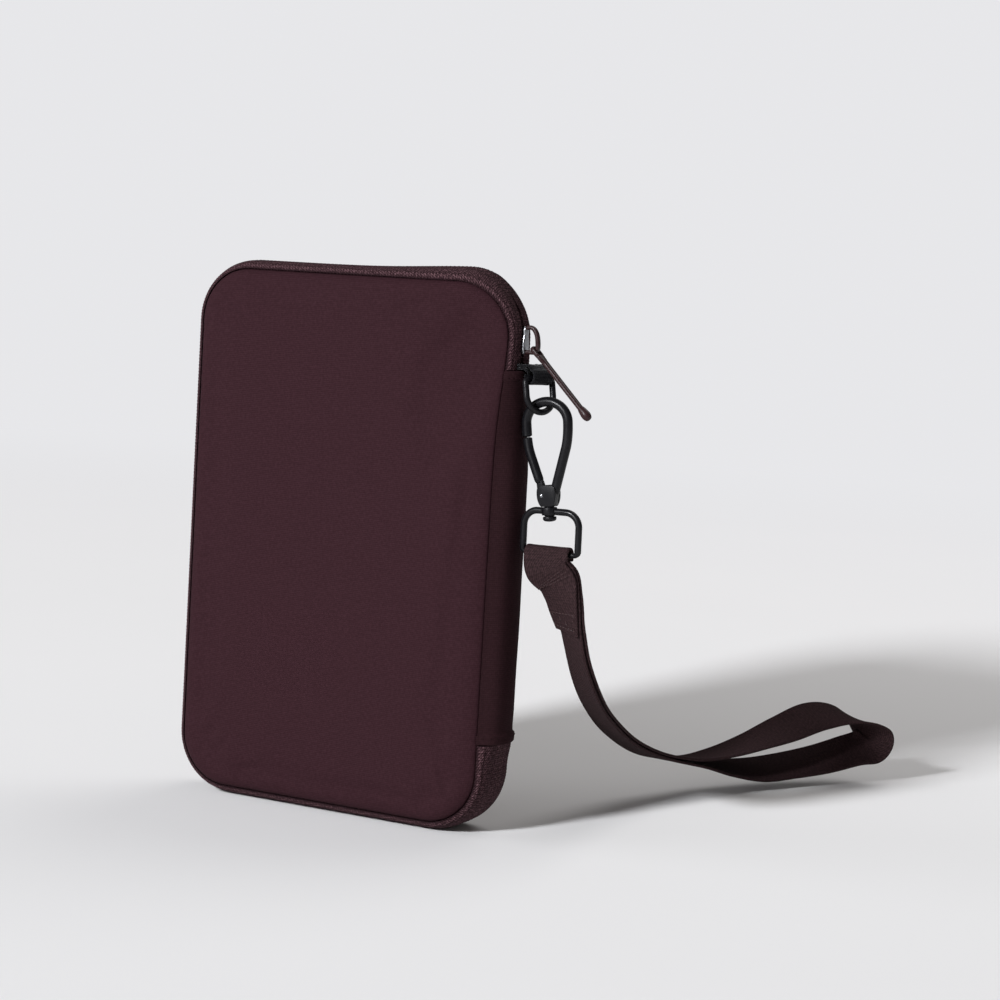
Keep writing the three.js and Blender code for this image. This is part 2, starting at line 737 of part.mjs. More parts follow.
// The head that keeps the swivel frame on the post.
function rivet() {
  const profile = [[0, -52.2], [2.4, -52], [3.1, -51.2], [3, -49.9], [0, -49.9]];
  const head = new THREE.LatheGeometry(profile.map(([r, z]) => new THREE.Vector2(r, z)), 12);
  return cut(head.rotateX(Math.PI / 2), post(1.8, -51.9, -49));
}
piece("swivel_rivet", rivet(), BLACK_METAL, hookSet);

function swivelFrame() {
  const shoulder = 6;
  const heel = 1.6;
  const path = new THREE.Path();
  path.moveTo(FRAME_HALF - shoulder, FRAME_TOP);
  path.absarc(FRAME_HALF - shoulder, FRAME_TOP - shoulder, shoulder, Math.PI / 2, 0, true);
  path.absarc(FRAME_HALF - heel, FRAME_LOW + heel, heel, 0, -Math.PI / 2, true);
  path.absarc(heel - FRAME_HALF, FRAME_LOW + heel, heel, -Math.PI / 2, -Math.PI, true);
  path.absarc(shoulder - FRAME_HALF, FRAME_TOP - shoulder, shoulder, Math.PI, Math.PI / 2, true);
  const points = path.getPoints(4);
  const distinct = points.filter((p, i) => i === 0 || p.distanceTo(points[i - 1]) > 0.05);
  const eye = post(3.5, FRAME_TOP - 2.3, FRAME_TOP + 2.3);
  return cut(
    join(rod(distinct, FRAME_BAR, true), eye),
    post(POST + 0.35, FRAME_TOP - 3, FRAME_TOP + 3),
  );
}
piece("swivel_frame", swivelFrame(), BLACK_METAL, hookSet);

// Hand loop: one strip of webbing. It starts as a tail in front of the neck, turns over the
// frame's lower bar, runs down behind the neck, round the loop, and back up between the two.

hookSet.updateMatrix();
const strapBar = new THREE.Vector3(0, 0, FRAME_LOW).applyMatrix4(hookSet.matrix);

// Each row is x, y, z, the direction of the width as degrees from +X in plan (negative towards
// the front), and the roll in degrees that lowers the near edge.
const NECK = [
  [strapBar.x + 0.6, strapBar.y, strapBar.z - 5, 0, -HOOK_TILT],
  [97.6, 0.5, 109.1, -9, -17],
  [100, 1.8, 102.1, -22, -11],
  [101.8, 3.3, 95.1, -32, -5],
  [103.3, 5, 88, -37, 6],
  [104, 9.2, 78.2, -33, 20],
  [103.5, 22.4, 62.1, -19, 27],
  [100.3, 45.8, 47, -8, 22],
  [98.1, 74.4, 32.8, -5, 12],
  [100.3, 104.4, 21.5, -10, 0],
];
const UPPER_BAND = [
  [107.6, 127.6, 17.3, -18, -6],
  [114.8, 147.9, 18.1, -22, -2],
  [123.2, 165.7, 21.8, -26, 7],
  [132.7, 182.5, 27, -28, 16],
  [143.4, 198.4, 30.8, -34, 22],
  [154.1, 211.8, 30.4, -45, 23],
  [163.6, 221.6, 25.4, -61, 24],
];
const LOOP_TIP = [168.6, 225.8, 18.7, -51, 19];
const LOWER_BAND = [
  [166.2, 223.6, 14.5, -42, 13],
  [156.9, 214.8, 12.6, -40, 23],
  [145.3, 201.3, 10.1, -35, 25],
  [133.8, 185.5, 8, -32, 24],
  [123.5, 167.7, 8.2, -29, 21],
  [114.2, 148.1, 10.9, -24, 12],
  [107.6, 127.8, 15.3, -18, 2],
];

const place = ([x, y, z]) => new THREE.Vector3(x, y, z);
function widthAt([, , , plan, roll]) {
  const level = Math.cos(degToRad(roll));
  return new THREE.Vector3(
    level * Math.cos(degToRad(plan)),
    level * Math.sin(degToRad(plan)),
    -Math.sin(degToRad(roll)),
  );
}

// The neck's stations moved out of its middle plane by a ply's distance, positive towards the back.
function ply(offset, rows) {
  return rows.map((row, i) => {
    const before = place(rows[Math.max(i - 1, 0)]);
    const along = place(rows[Math.min(i + 1, rows.length - 1)]).sub(before).normalize();
    const behind = widthAt(row).cross(along).normalize();
    return [place(row).addScaledVector(behind, offset), widthAt(row)];
  });
}

function strap() {
  const wrap = FRAME_BAR + GAP + STRAP_CLOTH / 2;
  const overBar = [180, 135, 90, 45, 0].map((degrees) => [
    strapBar
      .clone()
      .add(
        new THREE.Vector3(0, wrap * Math.cos(degToRad(degrees)), wrap * Math.sin(degToRad(degrees))),
      ),
    widthAt(NECK[0]),
  ]);
  const stations = [
    ...ply(-1.5 * PLY, NECK.slice(0, TAIL_STATIONS)).reverse(),
    ...overBar,
    ...ply(0.5 * PLY, NECK),
    ...[...UPPER_BAND, LOOP_TIP, ...LOWER_BAND].map((row) => [place(row), widthAt(row)]),
    ...ply(-0.5 * PLY, NECK).reverse(),
  ];
  const middle = new THREE.CatmullRomCurve3(stations.map(([p]) => p), false, "centripetal");
  const sides = new THREE.CatmullRomCurve3(stations.map(([, w]) => w), false, "catmullrom");
  const steps = STRAP_STEPS * (stations.length - 1);
  const fine = Array.from({ length: steps + 1 }, (_, i) => [
    middle.getPoint(i / steps),
    sides.getPoint(i / steps),
  ]);
  return strip(fine, STRAP_WIDTH, STRAP_CLOTH);
}
piece("wrist_strap", strap(), WEBBING);

export default wallet;
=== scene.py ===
# %% [markdown]
# # A travel document wallet
# A padded fabric case with a soft spine, a zip round the other three sides, and a swivel snap hook
# that carries a webbing hand loop. The solid model comes in first as a fixed frame. Each soft piece
# and each round metal piece is then made again in its place, finer and softer, and rides on the
# solid's moving bodies.

# %% Load the frame
import json
import math

import bpy
import numpy as np
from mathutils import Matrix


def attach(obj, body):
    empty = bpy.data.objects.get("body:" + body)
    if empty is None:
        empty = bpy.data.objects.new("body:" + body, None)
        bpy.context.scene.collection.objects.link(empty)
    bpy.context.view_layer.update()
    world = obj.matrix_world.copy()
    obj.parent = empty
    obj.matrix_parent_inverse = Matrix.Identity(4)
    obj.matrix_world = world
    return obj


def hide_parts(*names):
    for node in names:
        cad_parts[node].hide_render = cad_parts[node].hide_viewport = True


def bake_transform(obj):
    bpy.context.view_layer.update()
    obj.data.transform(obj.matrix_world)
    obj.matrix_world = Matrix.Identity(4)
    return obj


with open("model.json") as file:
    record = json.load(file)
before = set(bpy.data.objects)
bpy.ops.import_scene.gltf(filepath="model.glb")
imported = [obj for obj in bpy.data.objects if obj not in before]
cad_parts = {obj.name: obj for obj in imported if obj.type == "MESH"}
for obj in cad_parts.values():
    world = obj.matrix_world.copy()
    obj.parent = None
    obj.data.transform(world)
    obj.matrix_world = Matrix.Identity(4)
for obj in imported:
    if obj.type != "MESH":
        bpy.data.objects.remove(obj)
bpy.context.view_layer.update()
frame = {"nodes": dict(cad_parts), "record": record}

NODES = frame["nodes"]
MM = 0.001

# %% [markdown]
# The camera stands where the photographer stood: to the right of the front cover, a little above
# its middle, and slightly rolled. A camera can be aimed with a constraint, but a constraint would
# leave the roll to chance, so its three directions are worked out and set as a matrix.

# %% Camera
CAMERA_AZIMUTH, CAMERA_ELEVATION, CAMERA_ROLL = np.radians([27.409, 5.2, 3.4])
CAMERA_TARGET = np.array([69.203, 0.0, 138.199]) * MM
CAMERA_DISTANCE = 980.584 * MM
PICTURE_PIXELS, FOCAL_PIXELS, SENSOR = 1000, 2400, 36


def add_object(name, data):
    """Puts new data into the scene as an object."""
    thing = bpy.data.objects.new(name, data)
    bpy.context.scene.collection.objects.link(thing)
    return thing


def add_camera():
    """A camera at target + distance * back, whose axes are right and up turned by the roll."""
    sa, ca = np.sin(CAMERA_AZIMUTH), np.cos(CAMERA_AZIMUTH)
    se, ce = np.sin(CAMERA_ELEVATION), np.cos(CAMERA_ELEVATION)
    sr, cr = np.sin(CAMERA_ROLL), np.cos(CAMERA_ROLL)
    back = np.array([sa * ce, -ca * ce, se])
    right = np.array([ca, sa, 0.0])
    up = np.cross(back, right)
    matrix = np.eye(4)
    matrix[:3, 0] = right * cr + up * sr
    matrix[:3, 1] = up * cr - right * sr
    matrix[:3, 2] = back
    matrix[:3, 3] = CAMERA_TARGET + back * CAMERA_DISTANCE
    data = bpy.data.cameras.new("camera")
    data.sensor_width = SENSOR
    data.lens = SENSOR * FOCAL_PIXELS / PICTURE_PIXELS
    data.clip_start, data.clip_end = 0.01, 200
    camera = add_object("camera", data)
    camera.matrix_world = matrix.T.tolist()
    bpy.context.scene.camera = camera
    return camera


camera = add_camera()
print("camera at", [round(x, 3) for x in camera.matrix_world.translation])

# %% [markdown]
# Every new piece is a grid of points: rows along it, columns round or across it. A loop over
# vertices would be slow to run and to read, so the points are whole arrays, and the faces follow
# from the grid's size. A texture map is laid over the grid in millimetres, so a weave keeps its
# real scale on every piece.


# %% Mesh helpers
def grid_faces(rows, cols, wrap_rows=False, wrap_cols=False):
    """Corner numbers of a grid's faces, and the (row, column) of each corner before wrapping."""
    i = np.arange(rows if wrap_rows else rows - 1)
    j = np.arange(cols if wrap_cols else cols - 1)
    i, j = (a.ravel() for a in np.meshgrid(i, j, indexing="ij"))
    row = np.stack([i, i + 1, i + 1, i], -1)
    col = np.stack([j, j, j + 1, j + 1], -1)
    return (row % rows) * cols + col % cols, row, col


def enclosed_volume(points, quads):
    """Signed volume: the sum of corner dot products over the two triangles of each face."""
    a, b, c, d = (points[quads[:, k]] for k in range(4))
    return float((a * (np.cross(b, c) + np.cross(c, d))).sum() / 6)


def steps_along(points, wrap):
    """Running length in millimetres along axis 0, averaged over axis 1."""
    ring = np.concatenate([points, points[:1]]) if wrap else points
    lengths = np.linalg.norm(np.diff(ring, axis=0), axis=2).mean(1)
    return np.concatenate([[0], lengths.cumsum()]) / MM


def make_piece(name, points, faces, finish, uv=None, sharp=None, painted_hollow_shade=None):
    """Puts points in metres and lists of faces into a smooth mesh object at the origin."""
    mesh = bpy.data.meshes.new(name)
    mesh.from_pydata(points.tolist(), [], faces)
    if uv is not None:
        layer = mesh.uv_layers.new(name="cloth")
        layer.data.foreach_set("uv", np.asarray(uv, np.float32).ravel())
    # Painted shade: a value for each point, low in hollows, which darkens the colour there.
    if painted_hollow_shade is not None:
        mark = mesh.attributes.new("painted_hollow_shade", "FLOAT", "POINT")
        mark.data.foreach_set("value", np.asarray(painted_hollow_shade, np.float32).ravel())
    mesh.polygons.foreach_set("use_smooth", np.ones(len(mesh.polygons), bool))
    if sharp is not None:
        mesh.set_sharp_from_angle(angle=math.radians(sharp))
    mesh.materials.append(finish)
    mesh.update()
    return add_object(name, mesh)


def surface(name, grid, finish, wrap=(False, False), ends=False, sharp=None, painted_hollow_shade=None):
    """A mesh from grid[i, j]. A grid that wraps across and has ends, or wraps both ways, is closed
    and is turned outwards by the sign of its volume. ends closes the first and last rings."""
    rows, cols = grid.shape[:2]
    points = grid.reshape(-1, 3)
    quads, row, col = grid_faces(rows, cols, *wrap)
    along = steps_along(grid, wrap[0])
    across = steps_along(grid.transpose(1, 0, 2), wrap[1])
    uv = np.stack([across[col], along[row]], -1)
    inside_out = (ends or all(wrap)) and enclosed_volume(points - points.mean(0), quads) < 0
    if inside_out:
        quads, uv = quads[:, ::-1], uv[:, ::-1]
    faces, uv = quads.tolist(), uv.reshape(-1, 2)
    if ends:
        first = list(range(cols))
        last = list(range((rows - 1) * cols, rows * cols))
        faces += [first[::-1], last] if inside_out else [first, last[::-1]]
        uv = np.concatenate([uv, np.zeros((2 * cols, 2))])
    return make_piece(name, points, faces, finish, uv, sharp, painted_hollow_shade)


print("mesh helpers ready")

# %% [markdown]
# Straps, rods and tapes are sections carried along paths. Blender's curves can bevel a path too,
# but they twist by rules of their own. Here each path says which way its section faces.


# %% Path helpers
def unit(v):
    """Vectors of length one."""
    return v / np.linalg.norm(v, axis=-1, keepdims=True)


def heading(path, closed=False):
    """Unit directions along a line of points, from the two neighbours of each point."""
    if closed:
        return unit(np.roll(path, -1, 0) - np.roll(path, 1, 0))
    return unit(np.gradient(path, axis=0))


def left_of(along):
    """Plane directions turned to the left by a right angle."""
    return np.stack([-along[..., 1], along[..., 0]], -1)


def same(direction, count):
    """One direction for every station of a path."""
    return np.tile(np.array(direction, float), (count, 1))


def swept(path, side, up, section):
    """Carries a section along a path: point + first * side + second * up. The section is one ring
    of (first, second) for all stations, or one ring for each."""
    section = np.asarray(section, float)
    section = section[None] if section.ndim == 2 else section
    return path[:, None] + section[..., :1] * side[:, None] + section[..., 1:] * up[:, None]


def round_section(radius, sides=20):
    """A circle of the given radius."""
    turn = np.linspace(0, 2 * np.pi, sides, endpoint=False)
    return radius * np.stack([np.cos(turn), np.sin(turn)], -1)


def flat_section(width, height, radius, steps=4):
    """A rectangle whose corners are quarter circles."""
    turn = np.linspace(0, np.pi / 2, steps)
    rings = []
    for k, (sx, sy) in enumerate([(1, 1), (-1, 1), (-1, -1), (1, -1)]):
        angle = turn + k * np.pi / 2
        corner = np.array([sx * (width / 2 - radius), sy * (height / 2 - radius)])
        rings.append(corner + radius * np.stack([np.cos(angle), np.sin(angle)], -1))
    return np.concatenate(rings)


def running_length(points):
    """The way from the first point to each point of a broken line."""
    return np.concatenate([[0], np.linalg.norm(np.diff(points, axis=0), axis=1).cumsum()])


def resample(points, count=None, step=None):
    """Points at even distances along a broken line."""
    points = np.asarray(points, float)
    length = running_length(points)
    count = count or max(int(round(length[-1] / step)) + 1, 3)
    at = np.linspace(0, length[-1], count)
    return np.stack([np.interp(at, length, points[:, k]) for k in range(points.shape[1])], -1)


print("path helpers ready")

# %% [markdown]
# ## Finishes
# Cloth, webbing and tape share a weave. Its height is a wave across the warp and a wave across the
# weft, one of them stronger where a thread lies on top. Putting it in one node group lets each
# material place it with its own scale, and the group hands out only a height and a shade.


# %% Node helpers
def feed(tree, node, inputs):
    """Links or sets a node's inputs by name or number."""
    for key, value in inputs.items():
        socket = node.inputs[key]
        if isinstance(value, bpy.types.NodeSocket):
            tree.links.new(value, socket)
        else:
            socket.default_value = value


def new_node(tree, kind, inputs=None, **settings):
    """Adds a node, sets its properties, and feeds its inputs."""
    node = tree.nodes.new(kind)
    for key, value in settings.items():
        setattr(node, key, value)
    feed(tree, node, inputs or {})
    return node


def maths(tree, operation, a, b=0.0, c=0.0):
    """One Math node, as its output socket."""
    return new_node(tree, "ShaderNodeMath", {0: a, 1: b, 2: c}, operation=operation).outputs[0]


def noise_at(tree, where, scale, detail=2.0):
    """A noise value at a point."""
    inputs = {"Vector": where, "Scale": scale, "Detail": detail}
    return new_node(tree, "ShaderNodeTexNoise", inputs).outputs[0]


def ramp(tree, value, low=0.0, high=1.0, start=0.0, stop=1.0, **settings):
    """A value between low and high, mapped to start and stop."""
    inputs = {"Value": value, "From Min": low, "From Max": high, "To Min": start, "To Max": stop}
    return new_node(tree, "ShaderNodeMapRange", inputs, **settings).outputs[0]


def mixed(tree, factor, first, second):
    """Two colours mixed by a factor. Inputs 6 and 7 are the node's two colours."""
    inputs = {"Factor": factor, 6: (*first, 1), 7: (*second, 1)}
    return new_node(tree, "ShaderNodeMix", inputs, data_type="RGBA").outputs[2]


def new_group(name, inputs, outputs):
    """A shader node group with named sockets, and its input and output nodes."""
    tree = bpy.data.node_groups.new(name, "ShaderNodeTree")
    for label, kind, default in inputs:
        socket = tree.interface.new_socket(name=label, in_out="INPUT", socket_type=kind)
        if default is not None:
            socket.default_value = default
    for label, kind in outputs:
        tree.interface.new_socket(name=label, in_out="OUTPUT", socket_type=kind)
    return tree, tree.nodes.new("NodeGroupInput").outputs, tree.nodes.new("NodeGroupOutput")


THREAD_HEIGHT, FUZZ_HEIGHT, THREAD_SHADE, FUZZ_SCALE = 0.35, 0.7, 0.18, 0.9


def weave_group():
    """Height of a plain or twill weave at a point in millimetres: warp and weft waves of the given
    pitch, shifted by the slant so that a twill's ribs run at an angle, and roughened by noise."""
    number = "NodeSocketFloat"
    tree, given, result = new_group(
        "weave",
        [
            ("Vector", "NodeSocketVector", None),
            ("Pitch", number, 1.0), ("Slant", number, 0.0), ("Ribs", number, 0.5),
        ],
        [("Height", number), ("Shade", number)],
    )
    point = new_node(tree, "ShaderNodeSeparateXYZ", {0: given["Vector"]}).outputs
    turns = maths(tree, "DIVIDE", 2 * math.pi, given["Pitch"])
    lean = maths(tree, "MULTIPLY", point["Y"], given["Slant"])
    warp = maths(tree, "SINE", maths(tree, "MULTIPLY", maths(tree, "ADD", point["X"], lean), turns))
    weft = maths(tree, "SINE", maths(tree, "MULTIPLY", point["Y"], turns))
    ribs = maths(tree, "MULTIPLY", warp, given["Ribs"])
    rest = maths(tree, "MULTIPLY", weft, maths(tree, "SUBTRACT", 1.0, given["Ribs"]))
    both = maths(tree, "ADD", ribs, rest)
    fuzz = noise_at(tree, given["Vector"], FUZZ_SCALE, 3.0)
    rough = maths(tree, "MULTIPLY", fuzz, FUZZ_HEIGHT)
    feed(tree, result, {
        "Height": maths(tree, "MULTIPLY_ADD", both, THREAD_HEIGHT, rough),
        "Shade": maths(tree, "MULTIPLY_ADD", both, THREAD_SHADE, fuzz),
    })
    return tree


WEAVE = weave_group()
print("weave group:", len(WEAVE.nodes), "nodes")

# %% [markdown]
# A cloth material mixes a dark and a light thread by the weave's shade, and feeds the weave's
# height to a bump. Sheen and roughness are the same all over, so they are set on the shader itself.
# Where a piece marks its hollows, they get painted shade: the colour is darker there.


# %% Cloth materials
def new_material(name):
    """A new material, its node tree and its shader."""
    material = bpy.data.materials.new(name)
    material.use_nodes = True
    return material, material.node_tree, material.node_tree.nodes["Principled BSDF"]


def relief_of(tree, height, distance):
    """A bump of the given distance in millimetres."""
    inputs = {"Height": height, "Strength": 1.0, "Distance": distance * MM}
    return new_node(tree, "ShaderNodeBump", inputs).outputs[0]


def cloth_material(name, dark, light, pitch, slant, ribs, bump, rough, sheen,
                   on="UV", shade=(0.35, 0.75), painted_hollow_shade=False):
    """Thread colours mixed by a weave of the given pitch in millimetres, laid over the texture map
    or, on="Object", over the object's own X and Z."""
    material, tree, shader = new_material(name)
    scale, tip = (1.0, 0) if on == "UV" else (1 / MM, math.pi / 2)
    where = new_node(tree, "ShaderNodeTexCoord").outputs[on]
    mapping = {"Vector": where, "Scale": (scale,) * 3, "Rotation": (tip, 0, 0)}
    point = new_node(tree, "ShaderNodeMapping", mapping).outputs[0]
    inputs = {"Vector": point, "Pitch": pitch, "Slant": slant, "Ribs": ribs}
    weave = new_node(tree, "ShaderNodeGroup", inputs, node_tree=WEAVE).outputs
    blend = ramp(tree, weave["Shade"], *shade)
    # Painted shade: where the piece marks hollows, the thread colour is darkened.
    if painted_hollow_shade:
        depth = new_node(tree, "ShaderNodeAttribute", attribute_name="painted_hollow_shade").outputs["Fac"]
        blend = maths(tree, "MULTIPLY", depth, maths(tree, "MULTIPLY_ADD", blend, 0.9, 0.2))
    feed(tree, shader, {
        "Base Color": mixed(tree, blend, dark, light),
        "Normal": relief_of(tree, weave["Height"], bump),
        "Roughness": rough,
        "Sheen Weight": sheen,
        "Sheen Roughness": 0.4,
        "Specular IOR Level": 0.04,
    })
    return material


CLOTHS = [  # name, dark thread, light thread, pitch, slant, ribs, bump, roughness, sheen, the rest
    ("cover_cloth", (0.0264, 0.0101, 0.0132), (0.0362, 0.0145, 0.0189),
     0.8, 0.15, 0.25, 0.05, 0.8, 0.0, "Object"),
    # The spine's cloth is the cover cloth made darker: painted shade for the side that faces away
    # from the lamp.
    ("spine_cloth_painted_shade", (0.0207, 0.0086, 0.0104), (0.0297, 0.0126, 0.0153),
     0.8, 0.15, 0.25, 0.05, 0.8, 0.0),
    # The tape's last column turns on painted shade in the hollows of its relief.
    ("tape_cloth", (0.013, 0.0055, 0.0070), (0.150, 0.0800, 0.0915),
     1.0, 0.6, 0.6, 0.3, 0.8, 0.0, "UV", (0.44, 0.66), True),
    ("webbing_cloth", (0.020, 0.0114, 0.0124), (0.045, 0.0250, 0.0271),
     1.1, 0.8, 0.65, 0.2, 0.8, 0.0),
    ("tab_cloth", (0.0045, 0.0045, 0.0055), (0.016, 0.0160, 0.0180),
     1.0, 0.7, 0.6, 0.2, 0.75, 0.15),
    ("lining_cloth", (0.022, 0.0120, 0.0130), (0.044, 0.0250, 0.0270),
     0.7, 0.4, 0.5, 0.1, 0.6, 0.2),
    ("thread", (0.030, 0.0150, 0.0160), (0.075, 0.0420, 0.0430),
     0.3, 1.0, 0.9, 0.05, 0.5, 0.2),
    ("foam_cells", (0.014, 0.0110, 0.0120), (0.030, 0.0240, 0.0260),
     0.6, 0.0, 0.5, 0.2, 0.95, 0.0, "Object"),
]
(COVER_CLOTH, SPINE_CLOTH_PAINTED_SHADE, TAPE_CLOTH, WEBBING_CLOTH, TAB_CLOTH, LINING_CLOTH, THREAD,
 FOAM_CELLS) = (cloth_material(*row) for row in CLOTHS)
print("cloth materials:", len(CLOTHS))

# %% [markdown]
# The hook, ring and frame are black plated metal with a satin surface, and slider and pull are dark
# brown enamel over metal. Handling polishes the metal a little unevenly, so a slow noise moves the
# colour and the roughness, and a fine one gives the grain.

# %% Metal materials
WEAR_SCALE, GRAIN_SCALE, GRAIN_BUMP = 160.0, 900.0, 0.004


def metal_material(name, dark, light, rough, metallic=0.0, coat=0.0, specular=0.5):
    """A satin metal: colour and roughness moved by noise, with a fine grain as bump."""
    material, tree, shader = new_material(name)
    where = new_node(tree, "ShaderNodeTexCoord").outputs["Object"]
    slow = noise_at(tree, where, WEAR_SCALE, 4.0)
    feed(tree, shader, {
        "Base Color": mixed(tree, slow, dark, light),
        "Roughness": ramp(tree, slow, 0.3, 0.7, *rough),
        "Normal": relief_of(tree, noise_at(tree, where, GRAIN_SCALE), GRAIN_BUMP),
        "Metallic": metallic,
        "Coat Weight": coat,
        "Coat Roughness": 0.12,
        "Specular IOR Level": specular,
    })
    return material


BLACK_METAL = metal_material(
    "black_metal", (0.0040, 0.0038, 0.0048), (0.0075, 0.0072, 0.0088), (0.26, 0.40), specular=0.2
)
ENAMEL = metal_material(
    "brown_enamel", (0.022, 0.0095, 0.0100), (0.036, 0.0165, 0.0170), (0.28, 0.40),
    coat=0.04, specular=0.2,
)
STEEL = metal_material(
    "steel", (0.24, 0.245, 0.26), (0.33, 0.335, 0.35), (0.25, 0.4), metallic=1.0
)
NYLON = metal_material(
    "nylon", (0.016, 0.0085, 0.0085), (0.028, 0.0150, 0.0150), (0.35, 0.5)
)
FINISH_OF_SLOT = {
    "cover_fabric": COVER_CLOTH,
    "foam": FOAM_CELLS,
    "lining_fabric": LINING_CLOTH,
    "zip_tape": TAPE_CLOTH,
    "zip_coil": NYLON,
    "webbing": WEBBING_CLOTH,
    "tab_webbing": TAB_CLOTH,
    "black_metal": BLACK_METAL,
    "enamel": ENAMEL,
    "steel": STEEL,
}
print("slots with a finish:", len(FINISH_OF_SLOT))

# %% [markdown]
# ## Covers
# Each cover is a foam panel under a stretched cloth, crowned in the middle and turned in at its
# seam. A box with a bevel would look hard, so the panel starts as a square grid that is pulled into
# the rounded outline, with its height rising from the seam as a quarter ellipse.

# %% Outline of the case
WIDTH, HEIGHT, CORNER = 151.0, 230.0, 26.0
SEAM, SEAM_INSET = 13.5, 4.0
MIDDLE_Z = HEIGHT / 2
TINY = 1e-9


def outline_reach(direction, half_x, half_z, radius):
    """How far the rounded rectangle reaches from its middle in given directions: the nearer of the
    straight sides and, inside a corner's square, the corner circle."""
    dx, dz = np.abs(direction[..., 0]), np.abs(direction[..., 1])
    flat = np.minimum(half_x / np.maximum(dx, TINY), half_z / np.maximum(dz, TINY))
    cx, cz = half_x - radius, half_z - radius
    along = dx * cx + dz * cz
    inside = along**2 - (cx**2 + cz**2 - radius**2)
    curve = along + np.sqrt(np.maximum(inside, 0))
    in_corner = (flat * dx > cx) & (flat * dz > cz) & (inside > 0)
    return np.where(in_corner, np.minimum(curve, flat), flat)


def crowded(count, power):
    """Numbers from -1 to 1 that crowd towards the ends."""
    t = np.linspace(-1, 1, count)
    return np.sign(t) * (1 - (1 - np.abs(t)) ** power)


def panel_grid(inset, cols, rows, power=1.8):
    """A square grid pulled into the case's outline at an inset: each point moves along its ray
    from the middle, most at the border. Returns x, z and the distance in from the border."""
    half_x, half_z, radius = WIDTH / 2 - inset, HEIGHT / 2 - inset, CORNER - inset
    u, v = np.meshgrid(crowded(cols, power), crowded(rows, power), indexing="ij")
    square = np.stack([u * half_x, v * half_z], -1)
    edge = np.maximum(np.abs(u), np.abs(v))
    size = np.linalg.norm(square, axis=-1, keepdims=True)
    ray = square / np.maximum(size, TINY)
    to_square = size[..., 0] / np.maximum(edge, TINY)
    reach = outline_reach(ray, half_x, half_z, radius)
    pull = 1 + (reach / np.maximum(to_square, TINY) - 1) * edge**5
    flat = square * pull[..., None]
    q = np.abs(flat) - np.array([half_x - radius, half_z - radius])
    outer = np.linalg.norm(np.maximum(q, 0), axis=-1)
    distance = radius - (outer + np.minimum(q.max(-1), 0))
    return flat[..., 0], flat[..., 1] + MIDDLE_Z, np.maximum(distance, 0)


print("outline of the case:", WIDTH, "by", HEIGHT, "mm")

# %% [markdown]
# The closed zip draws the case together at the top of the spine, and the spine bows out below. If
# each piece were bent by itself, gaps would open between them, so one function moves every soft
# piece of the case, and they stay joined.

# %% Pinch at the spine
PINCH_X, PINCH_Z, PINCH_REACH = 75, 206, 30
PINCH_DEPTH, PINCH_OUT, ZIP_RISE = 0.4, 1.3, 2.4
SPINE_BOW, SPINE_DRAWN = 1.9, 0.06


def smoothstep(t):
    """An even ramp from 0 to 1 with level ends."""
    t = np.clip(t, 0, 1)
    return t * t * (3 - 2 * t)


def pinched(points):
    """The soft case near its spine. Near the top the closed zip draws the covers together: the
    depth shrinks by up to two fifths, the seams move outwards, and the top of the zip rises. Below,
    the spine bows out by two millimetres between its hems, and its depth is drawn in slightly."""
    x, y, z = (points[..., k] for k in range(3))
    near = np.exp(-(((x - PINCH_X) / PINCH_REACH) ** 2) - ((z - PINCH_Z) / PINCH_REACH) ** 2)
    seam = np.clip(np.abs(y) / SEAM, 0, 1)
    top = np.clip((z - 216) / 12, 0, 1) ** 2 * np.exp(-(((x - 56) / 36) ** 2))
    between_hems = smoothstep((z - 26) / 14) * (1 - smoothstep((z - 148) / 24))
    bowed = SPINE_BOW * smoothstep((x - 72) / 4) * between_hems
    drawn = SPINE_DRAWN * smoothstep((x - 60) / 11) * (1 - near)
    moved_x = x + PINCH_OUT * near * seam**2 + bowed
    moved_z = z + ZIP_RISE * top * (1 - seam**2)
    return np.stack([moved_x, y * (1 - PINCH_DEPTH * near) * (1 - drawn), moved_z], -1)


def soft_tube(name, grid, finish, sharp=None, painted_hollow_shade=None):
    """A closed piece of the soft case from rings in millimetres, pinched with the rest of it."""
    return surface(name, pinched(grid) * MM, finish, (False, True), True, sharp, painted_hollow_shade)


print("depth left at the pinch:", 1 - PINCH_DEPTH)

# %% [markdown]
# A cushion of cloth never stays as drawn: the pressure of the foam rounds it. Blender's cloth can
# push a closed shell outwards for a few frames. The seam and the back are pinned, the push is
# capped, and the settled shape becomes the mesh.

# %% Padded covers
ROLL, ROLL_BY_SPINE, CROWN, MIDDLE_RISE = 7.5, 5.0, 4.0, 0.75
SWELL_CAP = 0.7 * MM


